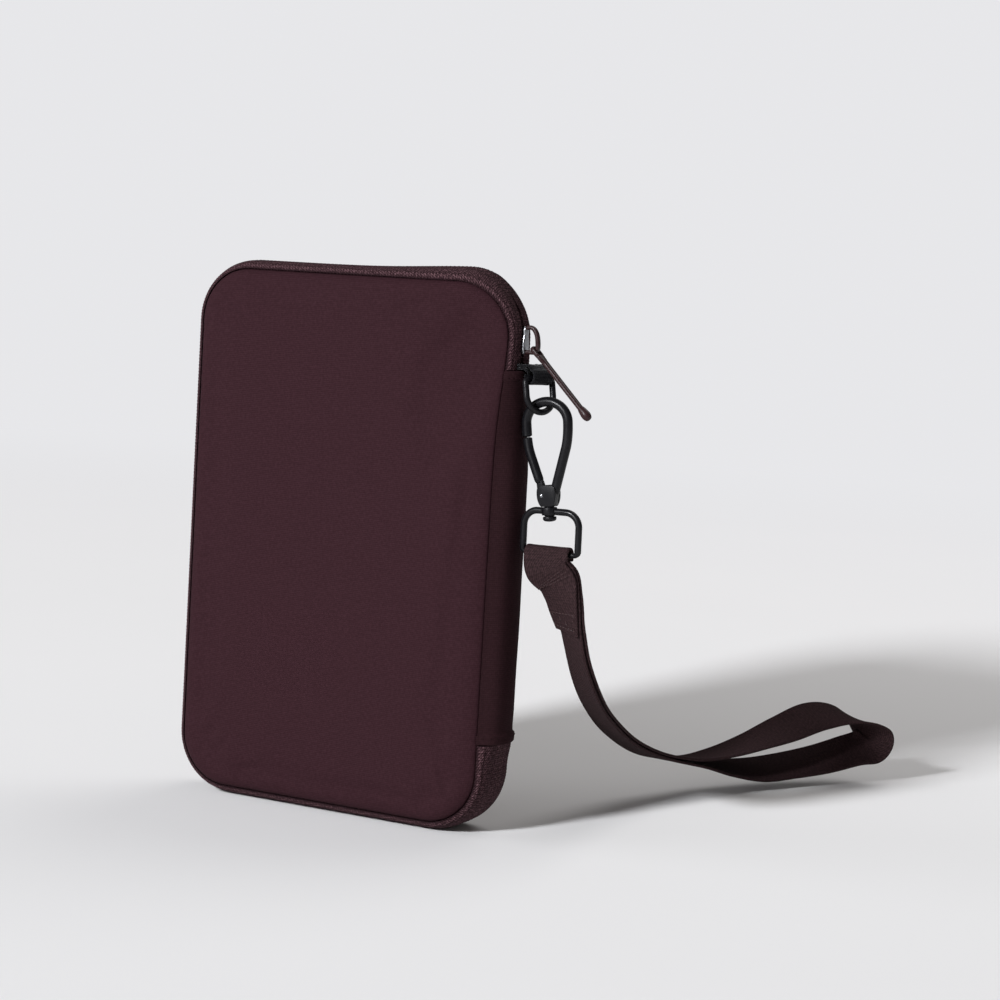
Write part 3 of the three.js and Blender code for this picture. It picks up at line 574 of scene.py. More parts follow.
def pillow(name, side, finish, cols=72, rows=104):
    """A crowned panel and its flat back, joined at the seam. The crown's height over the seam is a
    quarter ellipse of the distance from the border, plus a slow rise to the middle."""
    x, z, inward = panel_grid(SEAM_INSET, cols, rows)
    by_spine = smoothstep((x - 30) / 30) * smoothstep((z - 10) / 30) * smoothstep((222 - z) / 30)
    turn = np.clip(inward / (ROLL + ROLL_BY_SPINE * by_spine), 0, 1)
    rise = np.clip(inward / 55.0, 0, 1)
    crown = CROWN * np.sqrt(1 - (1 - turn) ** 2.1) + MIDDLE_RISE * rise * (2 - rise)
    front = pinched(np.stack([x, side * (SEAM - 1.0 + crown), z], -1)) * MM
    back = pinched(np.stack([x, np.full_like(x, side * (SEAM - 1.3)), z], -1)) * MM
    quads = grid_faces(cols, rows)[0]
    count = cols * rows
    border = np.zeros((cols, rows), bool)
    border[[0, -1], :] = border[:, [0, -1]] = True
    points = np.concatenate([front.reshape(-1, 3), back.reshape(-1, 3)])
    loop = np.concatenate(
        [
            np.arange(rows - 1),
            np.arange(cols - 1) * rows + rows - 1,
            (cols - 1) * rows + np.arange(rows - 1, 0, -1),
            np.arange(cols - 1, 0, -1) * rows,
        ]
    )
    ahead = np.roll(loop, -1)
    rim = np.stack([loop, ahead, ahead + count, loop + count], -1)
    faces = np.concatenate([quads, quads[:, ::-1] + count, rim[:, ::-1]])
    if enclosed_volume(points, faces) < 0:
        faces = faces[:, ::-1]
    piece = make_piece(name, points, faces.tolist(), finish)
    held = np.concatenate([border.ravel(), np.ones(count, bool)])
    free = np.concatenate([np.clip(inward / 9, 0, 1).ravel() ** 2, np.zeros(count)])
    return piece, held, free


def settle(piece, held, free, cap, pressure=4.0, frames=20):
    """Swells a closed shell by cloth pressure. Each point then keeps the move that its share of
    freedom allows, up to the cap, so that the seam stays a clear groove."""
    mesh = piece.data
    before, after = np.empty((2, len(mesh.vertices) * 3), np.float32)
    mesh.vertices.foreach_get("co", before)
    pins = piece.vertex_groups.new(name="held")
    pins.add(np.flatnonzero(held).tolist(), 1.0, "REPLACE")
    cloth = piece.modifiers.new("cloth", "CLOTH")
    cloth.settings.use_pressure = True
    cloth.settings.uniform_pressure_force = pressure
    cloth.settings.effector_weights.gravity = 0
    cloth.settings.vertex_group_mass = "held"
    cloth.settings.quality = 5
    scene = bpy.context.scene
    for step in range(1, frames + 1):
        scene.frame_set(step)
    shaped = piece.evaluated_get(bpy.context.evaluated_depsgraph_get()).to_mesh()
    shaped.vertices.foreach_get("co", after)
    piece.modifiers.remove(cloth)
    scene.frame_set(1)
    move = (after - before).reshape(-1, 3)
    size = np.linalg.norm(move, axis=1, keepdims=True)
    move *= np.minimum(1, cap / np.maximum(size, 1e-12)) * free[:, None]
    mesh.vertices.foreach_set("co", (before.reshape(-1, 3) + move).ravel())
    mesh.update()
    return float(size.max())


def put(piece, body, slot, *nodes):
    """Lets a piece ride on its body, in place of the named solids. The slot is not used."""
    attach(piece, body)
    if nodes:
        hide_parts(*nodes)
    return piece


def add_cover(name, side, body, nodes):
    """One cover: pillow, cloth settling, one subdivision, and its place on the frame."""
    piece, held, free = pillow(name, side, COVER_CLOTH)
    swell = settle(piece, held, free, SWELL_CAP)
    smooth = piece.modifiers.new("smooth", "SUBSURF")
    smooth.levels = smooth.render_levels = 1
    put(piece, body, "cover_fabric", *nodes)
    print(name, "swelled by up to", round(swell / MM, 2), "mm")


add_cover("front_cover", -1, "cover", ["front_panel", "front_foam"])
add_cover("back_cover", 1, "back", ["back_panel", "back_foam"])

# %% [markdown]
# ## Zip
# Two woven tapes run round the case and meet over the teeth, which lie on the inside. The tapes
# follow the case's outline. A curve object could be the path, but a function of the way round gives
# any place and its outward direction at once, for whole arrays.

# %% Path round the case
CORNER_ARC = CORNER * math.pi / 2
SIDES = [WIDTH - 2 * CORNER, HEIGHT - 2 * CORNER]
AROUND = 4 * CORNER_ARC + 2 * sum(SIDES)


def outline_at(s):
    """Place and outward direction on the case's edge at s millimetres from the top of the spine,
    anticlockwise seen from the front: a quarter circle, then a straight side, four times."""
    s = np.mod(s, AROUND)
    lengths = np.array([CORNER_ARC, SIDES[0], CORNER_ARC, SIDES[1]] * 2)
    starts = np.concatenate([[0], lengths.cumsum()[:-1]])
    leg = np.searchsorted(starts, s, side="right") - 1
    corner, straight = leg // 2, leg % 2
    rest = s - starts[leg]
    turn = corner * np.pi / 2 + np.where(straight, np.pi / 2, rest / CORNER)
    out = np.stack([np.cos(turn), 0 * turn, np.sin(turn)], -1)
    right = np.where((corner == 0) | (corner == 3), 1, -1)
    top = np.where(corner < 2, 1, -1)
    middle = np.stack([right * SIDES[0] / 2, 0 * turn, MIDDLE_Z + top * SIDES[1] / 2], -1)
    ahead = np.stack([-np.sin(turn), 0 * turn, np.cos(turn)], -1)
    place = middle + CORNER * out + ahead * np.where(straight, rest, 0)[..., None]
    return place, out


print("way round the case:", round(AROUND, 1), "mm")

# %% [markdown]
# Each tape has a corded edge beside the cover's seam, and rows of thread where the teeth are sewn
# on. All of that is too regular to model thread by thread, so one function gives the tape's height
# at each point: a cross-section carried along the outline, with slanting ridges at its edge and
# short bars in rows. The same height sets painted shade: the tape's finish darkens its hollows.

# %% Zip tapes
HALVES = ((1, "back", "back"), (-1, "front", "cover"))  # side, name and body
CHAIN_MIDDLE, CHAIN_GAP = -0.3, 0.15
SLIDER_GAP = 1.75  # from the middle to each tape, where the slider holds them apart
TAPE_OUTSIDE = np.array([[0, 7.5], [-0.4, 9.6], [-1.3, 11.4], [-2.5, 12.7], [-3.7, 13.5]])
TAPE_INSIDE = np.array([[-3.7, 12.0], [-2.5, 10.6], [-1.7, 9.2], [-1.3, 7.4]])
TAPE_TONGUE = np.array([[-3.7, 12.15], [-5.9, 12.15], [-5.9, 11.9], [-3.7, 11.9]])
END_ARC = math.radians(25) * CORNER
CORD_START, CORD_WIDTH, CORD_HEIGHT, RIDGE_PITCH = 3.3, 3.0, 0.45, 1.4
BAR_ROWS, BAR_WIDTH, BAR_HEIGHT, BAR_PITCH = (1.5, 3.4), 0.8, 0.2, 1.9
RIB_HEIGHT, RIB_PITCH = 0.06, 1.0


def tape_relief(s, v, length):
    """Height of the weave over the tape, from the way along s and the way out from the chain v.
    Within 3 mm of the seam it is a rounded cord crossed by slanting ridges; near the chain it is
    two rows of short bars; between them it is fine ribs."""
    cord = np.clip((v - (length - CORD_START)) / CORD_WIDTH, 0, 1)
    ridge = np.abs(np.cos(np.pi * (s / RIDGE_PITCH + 1.1 * cord))) ** 1.5
    height = CORD_HEIGHT * np.sin(np.pi * cord) ** 0.8 * (0.15 + 0.85 * ridge)
    for middle in BAR_ROWS:
        row = np.clip(1 - ((v - middle) / BAR_WIDTH) ** 2, 0, 1)
        height = height + BAR_HEIGHT * row * np.clip(np.cos(2 * np.pi * s / BAR_PITCH), 0, 1)
    ribs = np.clip((v - 4.4) / 0.6, 0, 1) * (1 - np.clip((v - (length - 3.9)) / 0.6, 0, 1))
    return height + RIB_HEIGHT * ribs * np.cos(2 * np.pi * (s / RIB_PITCH + 0.5 * v / 1.2))


def tape_half(name, side, start, first, last, tongue, step=0.375, detail=30):
    """One tape from first to last along the outline: the outside is raised by the relief along
    its own normal, the inside is plain, and a tongue reaches in behind the cover's seam."""
    outside = resample(np.concatenate([[[0, start]], TAPE_OUTSIDE]), detail)
    inside = resample(np.concatenate([TAPE_INSIDE, [[-1.3, start]]]), 9)
    inside = np.concatenate([TAPE_TONGUE, inside]) if tongue else inside
    s = np.linspace(first, last, int((last - first) / step) + 1)
    place, out = outline_at(s)
    v = running_length(outside)
    weave = tape_relief(s[:, None], v[None], v[-1])
    fade = np.clip(v / 0.4, 0, 1) * np.clip((v[-1] - v) / 0.2, 0, 1)
    relief = weave * fade - 0.12 * (v > 4) * (v < v[-1] - 3.4)
    raised = outside[None] - relief[..., None] * left_of(heading(outside))[None]
    ring = np.concatenate([raised, np.broadcast_to(inside, (len(s), *inside.shape))], 1)
    grid = place[:, None] + ring[..., :1] * out[:, None]
    parted = start + (SLIDER_GAP - start) * (1 - smoothstep((s - END_ARC) / 10))
    grid[..., 1] = side * np.maximum(ring[..., 1], parted[:, None] if tongue else start)
    # Painted shade: lighter on the relief's ridges and darker in its hollows; the inside gets a
    # middle tone.
    painted_relief_shade = np.clip(weave / 0.36 + 0.5, 0, 1)
    painted_relief_shade = np.where(v > v[-1] - CORD_START, np.clip(relief / 0.4, 0.03, 1), painted_relief_shade)
    painted_hollow_shade = np.concatenate([painted_relief_shade, np.full((len(s), len(inside)), 0.5)], 1)
    return soft_tube(name, grid, TAPE_CLOTH, 60, painted_hollow_shade)


def add_tape(name, side, start, first, last, body, node=None):
    """A tape half, riding on its cover's body. A piece for the spine stays fixed where it is made."""
    piece = tape_half(name, side, start, first, last, tongue=body != "spine")
    if body == "spine":
        join, free = (last, first) if first < 0 else (first, last)
        ends = [outline_at(np.array([s]))[0][0] + [0, side * SEAM, 0] for s in (join, free)]
        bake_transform(piece)
    else:
        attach(piece, body)
    if node:
        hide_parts(node)
    print(name, round(last - first, 1), "mm long,", len(piece.data.polygons), "faces")


TAPE_FIRST, TAPE_LAST = END_ARC, AROUND - SIDES[1] - END_ARC
for side, half, body in HALVES:
    edge = side * CHAIN_MIDDLE + CHAIN_GAP
    add_tape(f"{half}_tape", side, edge, TAPE_FIRST, TAPE_LAST, body, f"zip_tape_{half}")

# %% [markdown]
# Past the last teeth both tapes carry on for a short way down the spine's side. At the top the
# slider holds them apart, so they are two strips with a sewn tack below; at the bottom they meet.

# %% Ends of the zip
GUSSET_BOTTOM, GUSSET_TOP = 38.5, 191.5
END_GAP, HEM_GAP, MEETING_GAP = 0.05, 0.3, 0.02
TOP_START = -(HEIGHT - CORNER - GUSSET_TOP - HEM_GAP)
BOTTOM_STOP = AROUND - SIDES[1] + (GUSSET_BOTTOM - HEM_GAP - CORNER)
TOP_END = SLIDER_GAP, TOP_START, END_ARC - END_GAP, "spine"
BOTTOM_END = MEETING_GAP, TAPE_LAST + END_GAP, BOTTOM_STOP, "spine"
add_tape("top_end_front", -1, *TOP_END, "zip_end_top")
add_tape("top_end_back", 1, *TOP_END)
add_tape("bottom_end_front", -1, *BOTTOM_END, "zip_end_bottom")
add_tape("bottom_end_back", 1, *BOTTOM_END)


def add_tack():
    """A thick bar of thread across the parted tapes: a rounded section swept across the zip, with
    a wave along it for each turn of the thread."""
    y = np.linspace(-SLIDER_GAP, SLIDER_GAP, 40)
    path = np.stack([np.full_like(y, WIDTH / 2 - 0.6), y, np.full_like(y, GUSSET_TOP + 1.1)], -1)
    turns = 1 + 0.12 * np.cos(2 * np.pi * y / 0.5)
    section = flat_section(1.2, 1.5, 0.4)[None] * turns[:, None, None]
    grid = swept(path, same([1, 0, 0], len(y)), same([0, 0, 1], len(y)), section)
    return put(soft_tube("zip_tack", grid, THREAD), "spine", "zip_tape")


print("tack", len(add_tack().data.polygons), "faces")

# %% [markdown]
# The teeth of this kind of zip are one nylon wire wound into a coil. It shows only when the case is
# open, but a smooth bar there would look wrong, so the wire is swept along a helix that follows the
# outline.

# %% Nylon coil
COIL_PITCH, COIL_INSET, COIL_WIRE = 1.7, 2.8, 0.33


def add_coil(name, side, body, node, per_turn=9):
    """A helix round a line inside the tape: out by r cos, across by r sin, one turn per pitch."""
    first = math.radians(40) * CORNER
    turns = (TAPE_LAST - first) / COIL_PITCH
    s = np.linspace(first, TAPE_LAST, int(turns * per_turn))
    place, out = outline_at(s)
    turn = 2 * np.pi * s / COIL_PITCH
    start = side * CHAIN_MIDDLE + CHAIN_GAP
    path = place + out * (-COIL_INSET + 0.8 * np.cos(turn))[:, None]
    path[:, 1] = side * (start + 1.35 + 0.9 * np.sin(turn))
    tangent = heading(path)
    up = unit(np.cross(tangent, np.cross(out, [0.0, 1.0, 0.0])))
    grid = swept(path, np.cross(up, tangent), up, round_section(COIL_WIRE, 6))
    put(soft_tube(name, grid, NYLON), body, "zip_coil", node)
    print(name, int(turns), "turns")


for side, half, body in HALVES:
    add_coil(f"{half}_coil", side, body, f"zip_coil_{half}")

# %% [markdown]
# ## Spine
# The spine is a strip of the cover cloth that bows outwards between the two seams, with a folded
# hem at each end. Its section is an arc with an outside and an inside; the levels up the strip make
# the hems thicker, and a few shallow creases keep it from looking like a tube.

# %% Spine gusset
SPINE_FACE = WIDTH / 2
GUSSET_EDGE = SPINE_FACE - SEAM_INSET + 0.3
SAGITTA = SPINE_FACE + 2 - GUSSET_EDGE
GUSSET_RADIUS = (SEAM**2 + SAGITTA**2) / (2 * SAGITTA)
GUSSET_AXIS = SPINE_FACE + 2 - GUSSET_RADIUS
HEM_WIDTH, HEM_HEIGHT, CREASE, SAG = 3.7, 0.75, 0.16, 0.25


def bow(radius, edge_x, count):
    """Points of an arc about the spine's axis, between its two ends at x = edge_x."""
    half = np.arccos((edge_x - GUSSET_AXIS) / radius)
    turn = np.linspace(-1, 1, count) * half[..., None]
    arm = radius[..., None]
    return np.stack([GUSSET_AXIS + arm * np.cos(turn), arm * np.sin(turn)], -1)


def at_heights(ring, z):
    """Gives each ring of (x, y) its height."""
    return np.concatenate([ring, np.broadcast_to(z[:, None, None], (*ring.shape[:2], 1))], -1)


def gusset_grid(low, high, levels=150, count=33):
    """Rings of the strip: the outer radius grows by the hem at both ends and rolls in at the very
    ends, and creases shift it by small waves that die out at the seams."""
    z = low + (high - low) * (1 - np.cos(np.linspace(0, np.pi, levels))) / 2
    from_end = np.minimum(z - low, high - z)
    hem = HEM_HEIGHT * (1 - smoothstep((from_end - HEM_WIDTH) / 0.8))
    roll = 0.7 * np.clip(1 - from_end / 0.9, 0, 1) ** 2
    outside = bow(GUSSET_RADIUS + hem - roll, GUSSET_EDGE, count)
    inside = bow(np.full_like(z, GUSSET_RADIUS - 1.6) + roll, GUSSET_EDGE, count)
    across = np.linspace(-1, 1, count)
    wave = np.sin(2.2 * across + z[:, None] / 23)
    crease = CREASE * np.sin(z / 9.0 + 1.2)[:, None] * (1 - across**2) * wave
    sag = SAG * np.exp(-(((from_end - 7) / 4) ** 2))[:, None] * (1 - across**2)
    outside[..., 0] += np.where(from_end[:, None] > 4.6, crease - sag, 0)
    return at_heights(np.concatenate([outside, inside[:, ::-1]], 1), z)


# Painted shade: the spine's cloth is darker than the covers' though it is the same cloth.
gusset = soft_tube("spine_cloth_painted_shade", gusset_grid(GUSSET_BOTTOM, GUSSET_TOP), SPINE_CLOTH_PAINTED_SHADE, sharp=70)
put(gusset, "spine", "cover_fabric", "spine_gusset")
print("spine cloth", len(gusset.data.polygons), "faces")

# %% [markdown]
# The spine's cloth turns in behind each cover and is sewn to it, so that it folds there when the
# case opens. Cut as one piece with the spine it could only follow the spine, so the turned-in part
# is a strip of its own, which stays fixed where it is made.

# %% Folds beside the spine
FOLD_PATH = np.array(
    [[66.5, 12.35], [69.5, 12.35], [71.2, 12.35], [71.9, 12.1], [72.9, 11.05], [74, 9.45]]
)
FOLD_CLOTH = 0.4


def add_fold(name, side):
    """A thin strip up the seam: from inside the cover, across the groove, into the spine's wall."""
    path = resample(FOLD_PATH, 25)
    off = FOLD_CLOTH / 2 * left_of(heading(path))
    z = np.linspace(CORNER + 1, HEIGHT - CORNER - 1, 90)
    ring = np.concatenate([path + off, (path - off)[::-1]])
    grid = at_heights(np.broadcast_to(ring, (len(z), *ring.shape)), z) * [1, side, 1]
    # The fold takes the spine's darker cloth, which carries painted shade.
    piece = soft_tube(name, grid, SPINE_CLOTH_PAINTED_SHADE)
    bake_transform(piece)
    print(name, len(piece.data.polygons), "faces")


for side, half, body in HALVES:
    add_fold(f"{half}_fold", side)

# %% [markdown]
# A hem is held by a row of stitches. Each stitch is a short thread that dips at both ends, so one
# small grid is made for all of them at once, placed by its middle, its direction and the cloth's
# normal.

# %% Stitches
STITCH_ROWS, STITCH_SIDES = 7, 6


def stitch_row(name, middles, along, normal, length, radius, body, slot, finish=THREAD):
    """Threads of the given length: a path that rises in the middle as a sine, a six-sided section
    that thins to the ends, all stitches in one array."""
    t = np.linspace(0, 1, STITCH_ROWS)
    lift = radius * (1.6 * np.sin(np.pi * t) - 0.9)
    width = radius * np.sin(np.pi * np.clip(t, 0.06, 0.94)) ** 0.4
    side = np.cross(along, normal)
    turn = np.linspace(0, 2 * np.pi, STITCH_SIDES, endpoint=False)[:, None]
    path = (
        middles[:, None]
        + (t - 0.5)[None, :, None] * length * along[:, None]
        + lift[None, :, None] * normal[:, None]
    )
    ring = np.cos(turn) * side[:, None, None] + np.sin(turn) * normal[:, None, None]
    points = path[:, :, None] + width[None, :, None, None] * ring
    count = len(middles)
    quads = grid_faces(STITCH_ROWS, STITCH_SIDES, False, True)[0]
    starts = STITCH_ROWS * STITCH_SIDES * np.arange(count)
    faces = (quads[None] + starts[:, None, None]).reshape(-1, 4)
    if enclosed_volume(points[0].reshape(-1, 3) - middles[0], quads) < 0:
        faces = faces[:, ::-1]
    uv = np.zeros((faces.size, 2))
    piece = make_piece(name, points.reshape(-1, 3) * MM, faces.tolist(), finish, uv)
    put(piece, body, slot)
    print(name, count, "stitches")


def hem_stitches(name, z):
    """Stitches across the spine's hem at height z."""
    arc = bow(np.array([GUSSET_RADIUS + 0.72]), GUSSET_EDGE, 91)[0]
    arc = resample(arc, step=2.6)[1:-1]
    points = np.column_stack([arc, np.full(len(arc), z)])
    normal = unit(np.column_stack([arc[:, 0] - GUSSET_AXIS, arc[:, 1], 0 * arc[:, 0]]))
    along = np.cross([0.0, 0.0, 1.0], normal)
    # The hem stitches take the spine's darker cloth, which carries painted shade.
    stitch_row(
        name, pinched(points), along, normal, 1.9, 0.2, "spine", "cover_fabric", SPINE_CLOTH_PAINTED_SHADE
    )


hem_stitches("hem_stitches_bottom", GUSSET_BOTTOM + 3.0)
hem_stitches("hem_stitches_top", GUSSET_TOP - 3.0)

# %% [markdown]
# ## Inside
# Each cover has a lining, and its raw edge is bound with a folded tape. The lining is a thin slab
# with a front and a back, a little slack between its seams; the binding is a soft rounded section
# carried round the outline. A bowed strip lines the spine.

# %% Linings and bindings
LINING_FACE = SEAM - 2.3


def slab_piece(name, x, z, near, far):
    """A closed sheet of lining between two surfaces y = near and y = far over one grid of x and z,
    joined round the border. Each row of the grid becomes one ring: along the front, and back."""
    front = np.stack([x, near, z], -1)
    back = np.stack([x, far, z], -1)
    return soft_tube(name, np.concatenate([front, back[:, ::-1]], 1), LINING_CLOTH, sharp=60)


def add_lining(name, side, body, node):
    """The lining: slow waves of a quarter millimetre, none at the seam."""
    x, z, inward = panel_grid(SEAM_INSET + 1.6, 48, 72, 1.2)
    slack = np.clip(inward / 12, 0, 1) * 0.25
    near = side * (LINING_FACE + slack * np.sin(x / 17 + 0.6) * np.cos(z / 23))
    piece = slab_piece(name, x, z, near, np.full_like(x, side * (SEAM - 1.4)))
    put(piece, body, "lining_fabric", node)
    print(name, len(piece.data.polygons), "faces")


def add_binding(name, side, body, node):
    """A rounded tape, 4.2 by 1.2 mm, carried round the whole outline."""
    place, out = outline_at(np.linspace(0, AROUND, 360, endpoint=False))
    section = flat_section(4.2, 1.2, 0.45) + [-SEAM_INSET - 2.3, LINING_FACE - 0.9]
    grid = swept(place, out, same([0, side, 0], len(place)), section)
    piece = surface(name, pinched(grid) * MM, LINING_CLOTH, (True, True))
    put(piece, body, "lining_fabric", node)
    print(name, len(piece.data.polygons), "faces")


def add_spine_lining(levels=60, count=25):
    """A thin bowed strip behind the spine's cloth, with the same axis and a smaller radius."""
    z = np.linspace(GUSSET_BOTTOM + 1.5, GUSSET_TOP - 1.5, levels)
    outer = np.full_like(z, GUSSET_RADIUS - 2.0)
    front, back = (bow(radius, GUSSET_EDGE + 0.6, count) for radius in (outer, outer - 0.7))
    ring = np.concatenate([front, back[:, ::-1]], 1)
    piece = soft_tube("spine_lining_cloth", at_heights(ring, z), LINING_CLOTH)
    put(piece, "spine", "lining_fabric", "spine_lining")


for side, half, body in HALVES:
    add_lining(f"{half}_lining_cloth", side, body, f"{half}_lining")
for side, half, body in HALVES:
    add_binding(f"{half}_binding_tape", side, body, f"{half}_binding")
add_spine_lining()

# %% [markdown]
# ## Pockets
# A pocket is a patch of cloth sewn down on three sides and open at the top. Between its seams it
# stands off the cloth behind by the room inside, so its depth is a function of the distance to the
# nearest seam: a steep quarter ellipse, then level, with a little slack and a thicker hem on top.

# %% Pockets
POCKET_FLOOR, POCKET_WALL, POCKET_HALF, POCKET_CLOTH = 18.0, 6.4, 52, 0.8
CARD_HALF, CARD_HEIGHT, CARD_STEP, CARD_BASE, CARD_CLOTH = 46, 46, 14, 70, 0.5


def add_pocket(name, side, body, node, span, wall, back, cloth, rise=2.0):
    """A patch over span = (left, right, low, high). It starts at depth back on its three seams
    and stands at depth wall inside; both are distances from the middle of the case."""
    left, right, low, high = span
    u = np.linspace(0, 1, 57)
    eased = 0.5 * (0.5 - 0.5 * np.cos(np.pi * u)) + 0.5 * u
    across = left + (right - left) * eased
    up = low + (high - low) * np.concatenate([eased[:-4], [0.962, 0.972, 0.994, 1]])
    x, z = np.meshgrid(across, up, indexing="ij")
    seam = np.minimum(np.minimum(x - left, right - x), z - low)
    lift = np.sqrt(1 - (1 - np.clip(seam / rise, 0, 1)) ** 2)
    slack = 0.22 * np.clip(seam / 14, 0, 1) * np.sin(x / 15 + z / 31)
    hem = 0.25 * (z > high - 5)
    inner = back + (wall - back) * lift
    outer = inner - cloth - slack * min(1.0, cloth / 0.8) - hem * cloth
    piece = slab_piece(name, x, z, side * outer, side * inner)
    put(piece, body, "lining_fabric", node)
    count = int((right - left - 8) / 2.8)
    spots = np.linspace(left + 4, right - 4, count)
    depth = side * (wall - 1.25 * cloth - 0.04)
    middles = np.stack([spots, np.full(count, depth), np.full(count, high - 4.0)], -1)
    stitch_row(
        name + "_stitches", pinched(middles), same([1, 0, 0], count), same([0, -side, 0], count),
        2.0, 0.16, body, "lining_fabric",
    )


for name, side, body, node, height in (
    ("passport_patch", 1, "back", "passport_pocket", 140),
    ("ticket_patch", -1, "cover", "ticket_pocket", 172),
):
    span = (-POCKET_HALF, POCKET_HALF, POCKET_FLOOR, POCKET_FLOOR + height)
    add_pocket(name, side, body, node, span, POCKET_WALL, LINING_FACE - 0.3, POCKET_CLOTH)
for i in range(3):
    behind = POCKET_WALL - 1.1 - 1.7 * i
    base = CARD_BASE + (2 - i) * CARD_STEP
    span = (-CARD_HALF, CARD_HALF, base, base + CARD_HEIGHT)
    add_pocket(
        f"card_patch_{i + 1}", -1, "cover", f"card_slot_{i + 1}",
        span, behind - 0.9, behind, CARD_CLOTH, rise=1.6,
    )

# %% [markdown]
# ## Hand loop
# The strap is one length of webbing. Its tail hangs in front of the neck, it turns over the frame's
# lower bar, runs down behind, round the loop on the table, and back up between the two, where all
# three layers are sewn together. A simulation would settle differently each time a number changes,
# and the photograph fixes this shape, so the strap is drawn through stations that say where its
# middle is, which way its width points and how it rolls.

# %% Stations of the strap
STRAP_BAR, FRAME_TILT = np.array([93.4, -1.054, 118.8]), 1.0
NECK = np.array(  # x, y, z in millimetres, then the width's angle in plan and its roll in degrees
    [
        [STRAP_BAR[0] + 0.8, STRAP_BAR[1], STRAP_BAR[2] - 5.6, -1, -FRAME_TILT],
        [98.1, 0.6, 108.4, -12, -16],
        [100.4, 1.8, 102.1, -25, -11],
        [101.8, 3.3, 95.1, -32, -5],
        [103.3, 5, 88, -37, 6],
        [104, 9.2, 78.2, -33, 20],
        [103.5, 22.4, 62.1, -19, 27],
        [100.3, 45.8, 47, -8, 22],
        [98.1, 74.4, 32.8, -5, 12],
        [100.3, 104.4, 21.5, -10, 0],
    ]
)
LOOP = np.array(
    [
        [107.6, 127.6, 17.3, -18, -6],
        [114.8, 147.9, 18.1, -22, -2],
        [123.2, 165.7, 21.8, -26, 7],
        [131.8, 182.0, 26.7, -22, 20],
        [141.2, 197.4, 31.9, -22, 26],
        [150.4, 210.1, 32.1, -21, 16],
        [157.3, 218.4, 27.3, -6, 10],
        [161.7, 222.5, 20.4, 14, 17],
        [160.3, 221.0, 17.4, 13, 22],
        [153.4, 213.2, 14.8, -14, 27],
        [143.5, 200.5, 11.2, -27, 27],
        [132.4, 184.9, 8.8, -29, 23],
        [123.5, 167.7, 8.2, -29, 21],
        [114.2, 148.1, 10.9, -24, 12],
        [107.6, 127.8, 15.3, -18, 2],
    ]
)
PLY, STRAP_WIDTH, STRAP_CLOTH, BAR_TURN = 1.7, 20.0, 1.3, 2.6
TAIL = 5  # stations of the neck that the tail covers


def width_at(rows):
    """Direction of the width from its angle in plan and its roll, both in degrees."""
    plan, roll = np.radians(rows[:, 3]), np.radians(rows[:, 4])
    return np.stack([np.cos(roll) * np.cos(plan), np.cos(roll) * np.sin(plan), -np.sin(roll)], -1)


def ply(offset, rows):
    """The neck's stations moved out of its middle plane by a distance, positive to the back."""
    at = np.arange(len(rows))
    ahead = unit(rows[np.minimum(at + 1, len(rows) - 1), :3] - rows[np.maximum(at - 1, 0), :3])
    wide = width_at(rows)
    return np.concatenate([rows[:, :3] + offset * unit(np.cross(wide, ahead)), wide], 1)


def strap_stations():
    """Place and width direction from the tail's end to the end of the last layer."""
    turn = np.radians([180, 135, 90, 45, 0])
    over = STRAP_BAR + BAR_TURN * np.stack([0 * turn, np.cos(turn), np.sin(turn)], -1)
    over = np.concatenate([over, np.tile(width_at(NECK[:1]), (len(turn), 1))], 1)
    tail, back, middle = ply(-1.5 * PLY, NECK[:TAIL]), ply(0.5 * PLY, NECK), ply(-0.5 * PLY, NECK)
    loop = np.concatenate([LOOP[:, :3], width_at(LOOP)], 1)
    return np.concatenate([tail[::-1], over, back, loop, middle[::-1]])


STRAP = strap_stations()
print("strap stations:", len(STRAP))

# %% [markdown]
# The stations are joined by a smooth curve. The webbing's section is a flat rounded strip with a
# thicker woven edge on both sides. It is carried along the path with its width squared to the
# direction of travel, and the texture map follows it in millimetres, so that the slanting weave
# stays on the cloth through every twist.


# %% Webbing
def root_gap(first, second):
    """The square root of the distance between points, never quite zero."""
    return np.maximum(np.linalg.norm(second - first, axis=1, keepdims=True) ** 0.5, 1e-6)


def through(stations, steps, even=False):
    """A smooth curve through stations, steps points from each to the next: cubic pieces whose
    slopes come from the neighbours. Spacing by the square root of distance keeps sharp turns from
    overshooting; even spacing suits directions."""
    before, after = 2 * stations[0] - stations[1], 2 * stations[-1] - stations[-2]
    p = np.concatenate([[before], stations, [after]])
    a, b, c, d = p[:-3], p[1:-2], p[2:-1], p[3:]
    if even:
        first, second = 0.5 * (c - a), 0.5 * (d - b)
    else:
        g0, g1, g2 = root_gap(a, b), root_gap(b, c), root_gap(c, d)
        first = ((b - a) / g0 - (c - a) / (g0 + g1) + (c - b) / g1) * g1
        second = ((c - b) / g1 - (d - b) / (g1 + g2) + (d - c) / g2) * g1
    t = (np.arange(steps) / steps)[None, :, None]
    a0, a1, a2, a3 = (
        k[:, None]
        for k in (b, first, -3 * b + 3 * c - 2 * first - second, 2 * b - 2 * c + first + second)
    )
    curve = (((a3 * t + a2) * t + a1) * t + a0).reshape(-1, stations.shape[1])
    return np.concatenate([curve, stations[-1:]])


def squared(wide, along):
    """The width's direction, less what of it points along the path."""
    return unit(wide - (wide * along).sum(1, keepdims=True) * along)


def webbing_section(width, cloth, edge=0.12, count=20):
    """A flat strip whose ends are half round and a little thicker than its middle."""
    x = np.linspace(-1, 1, count) * (width / 2 - cloth / 2)
    half = cloth / 2 * (1 - edge + edge * smoothstep((np.abs(x) - width / 2 + 2.4) / 0.8))
    turn = np.linspace(-np.pi / 2, np.pi / 2, 7)[1:-1]
    right = np.stack([x[-1] + half[-1] * np.cos(turn), half[-1] * np.sin(turn)], -1)
    top = np.stack([x, half], -1)[::-1]
    return np.concatenate([np.stack([x, -half], -1), right, top, -right])


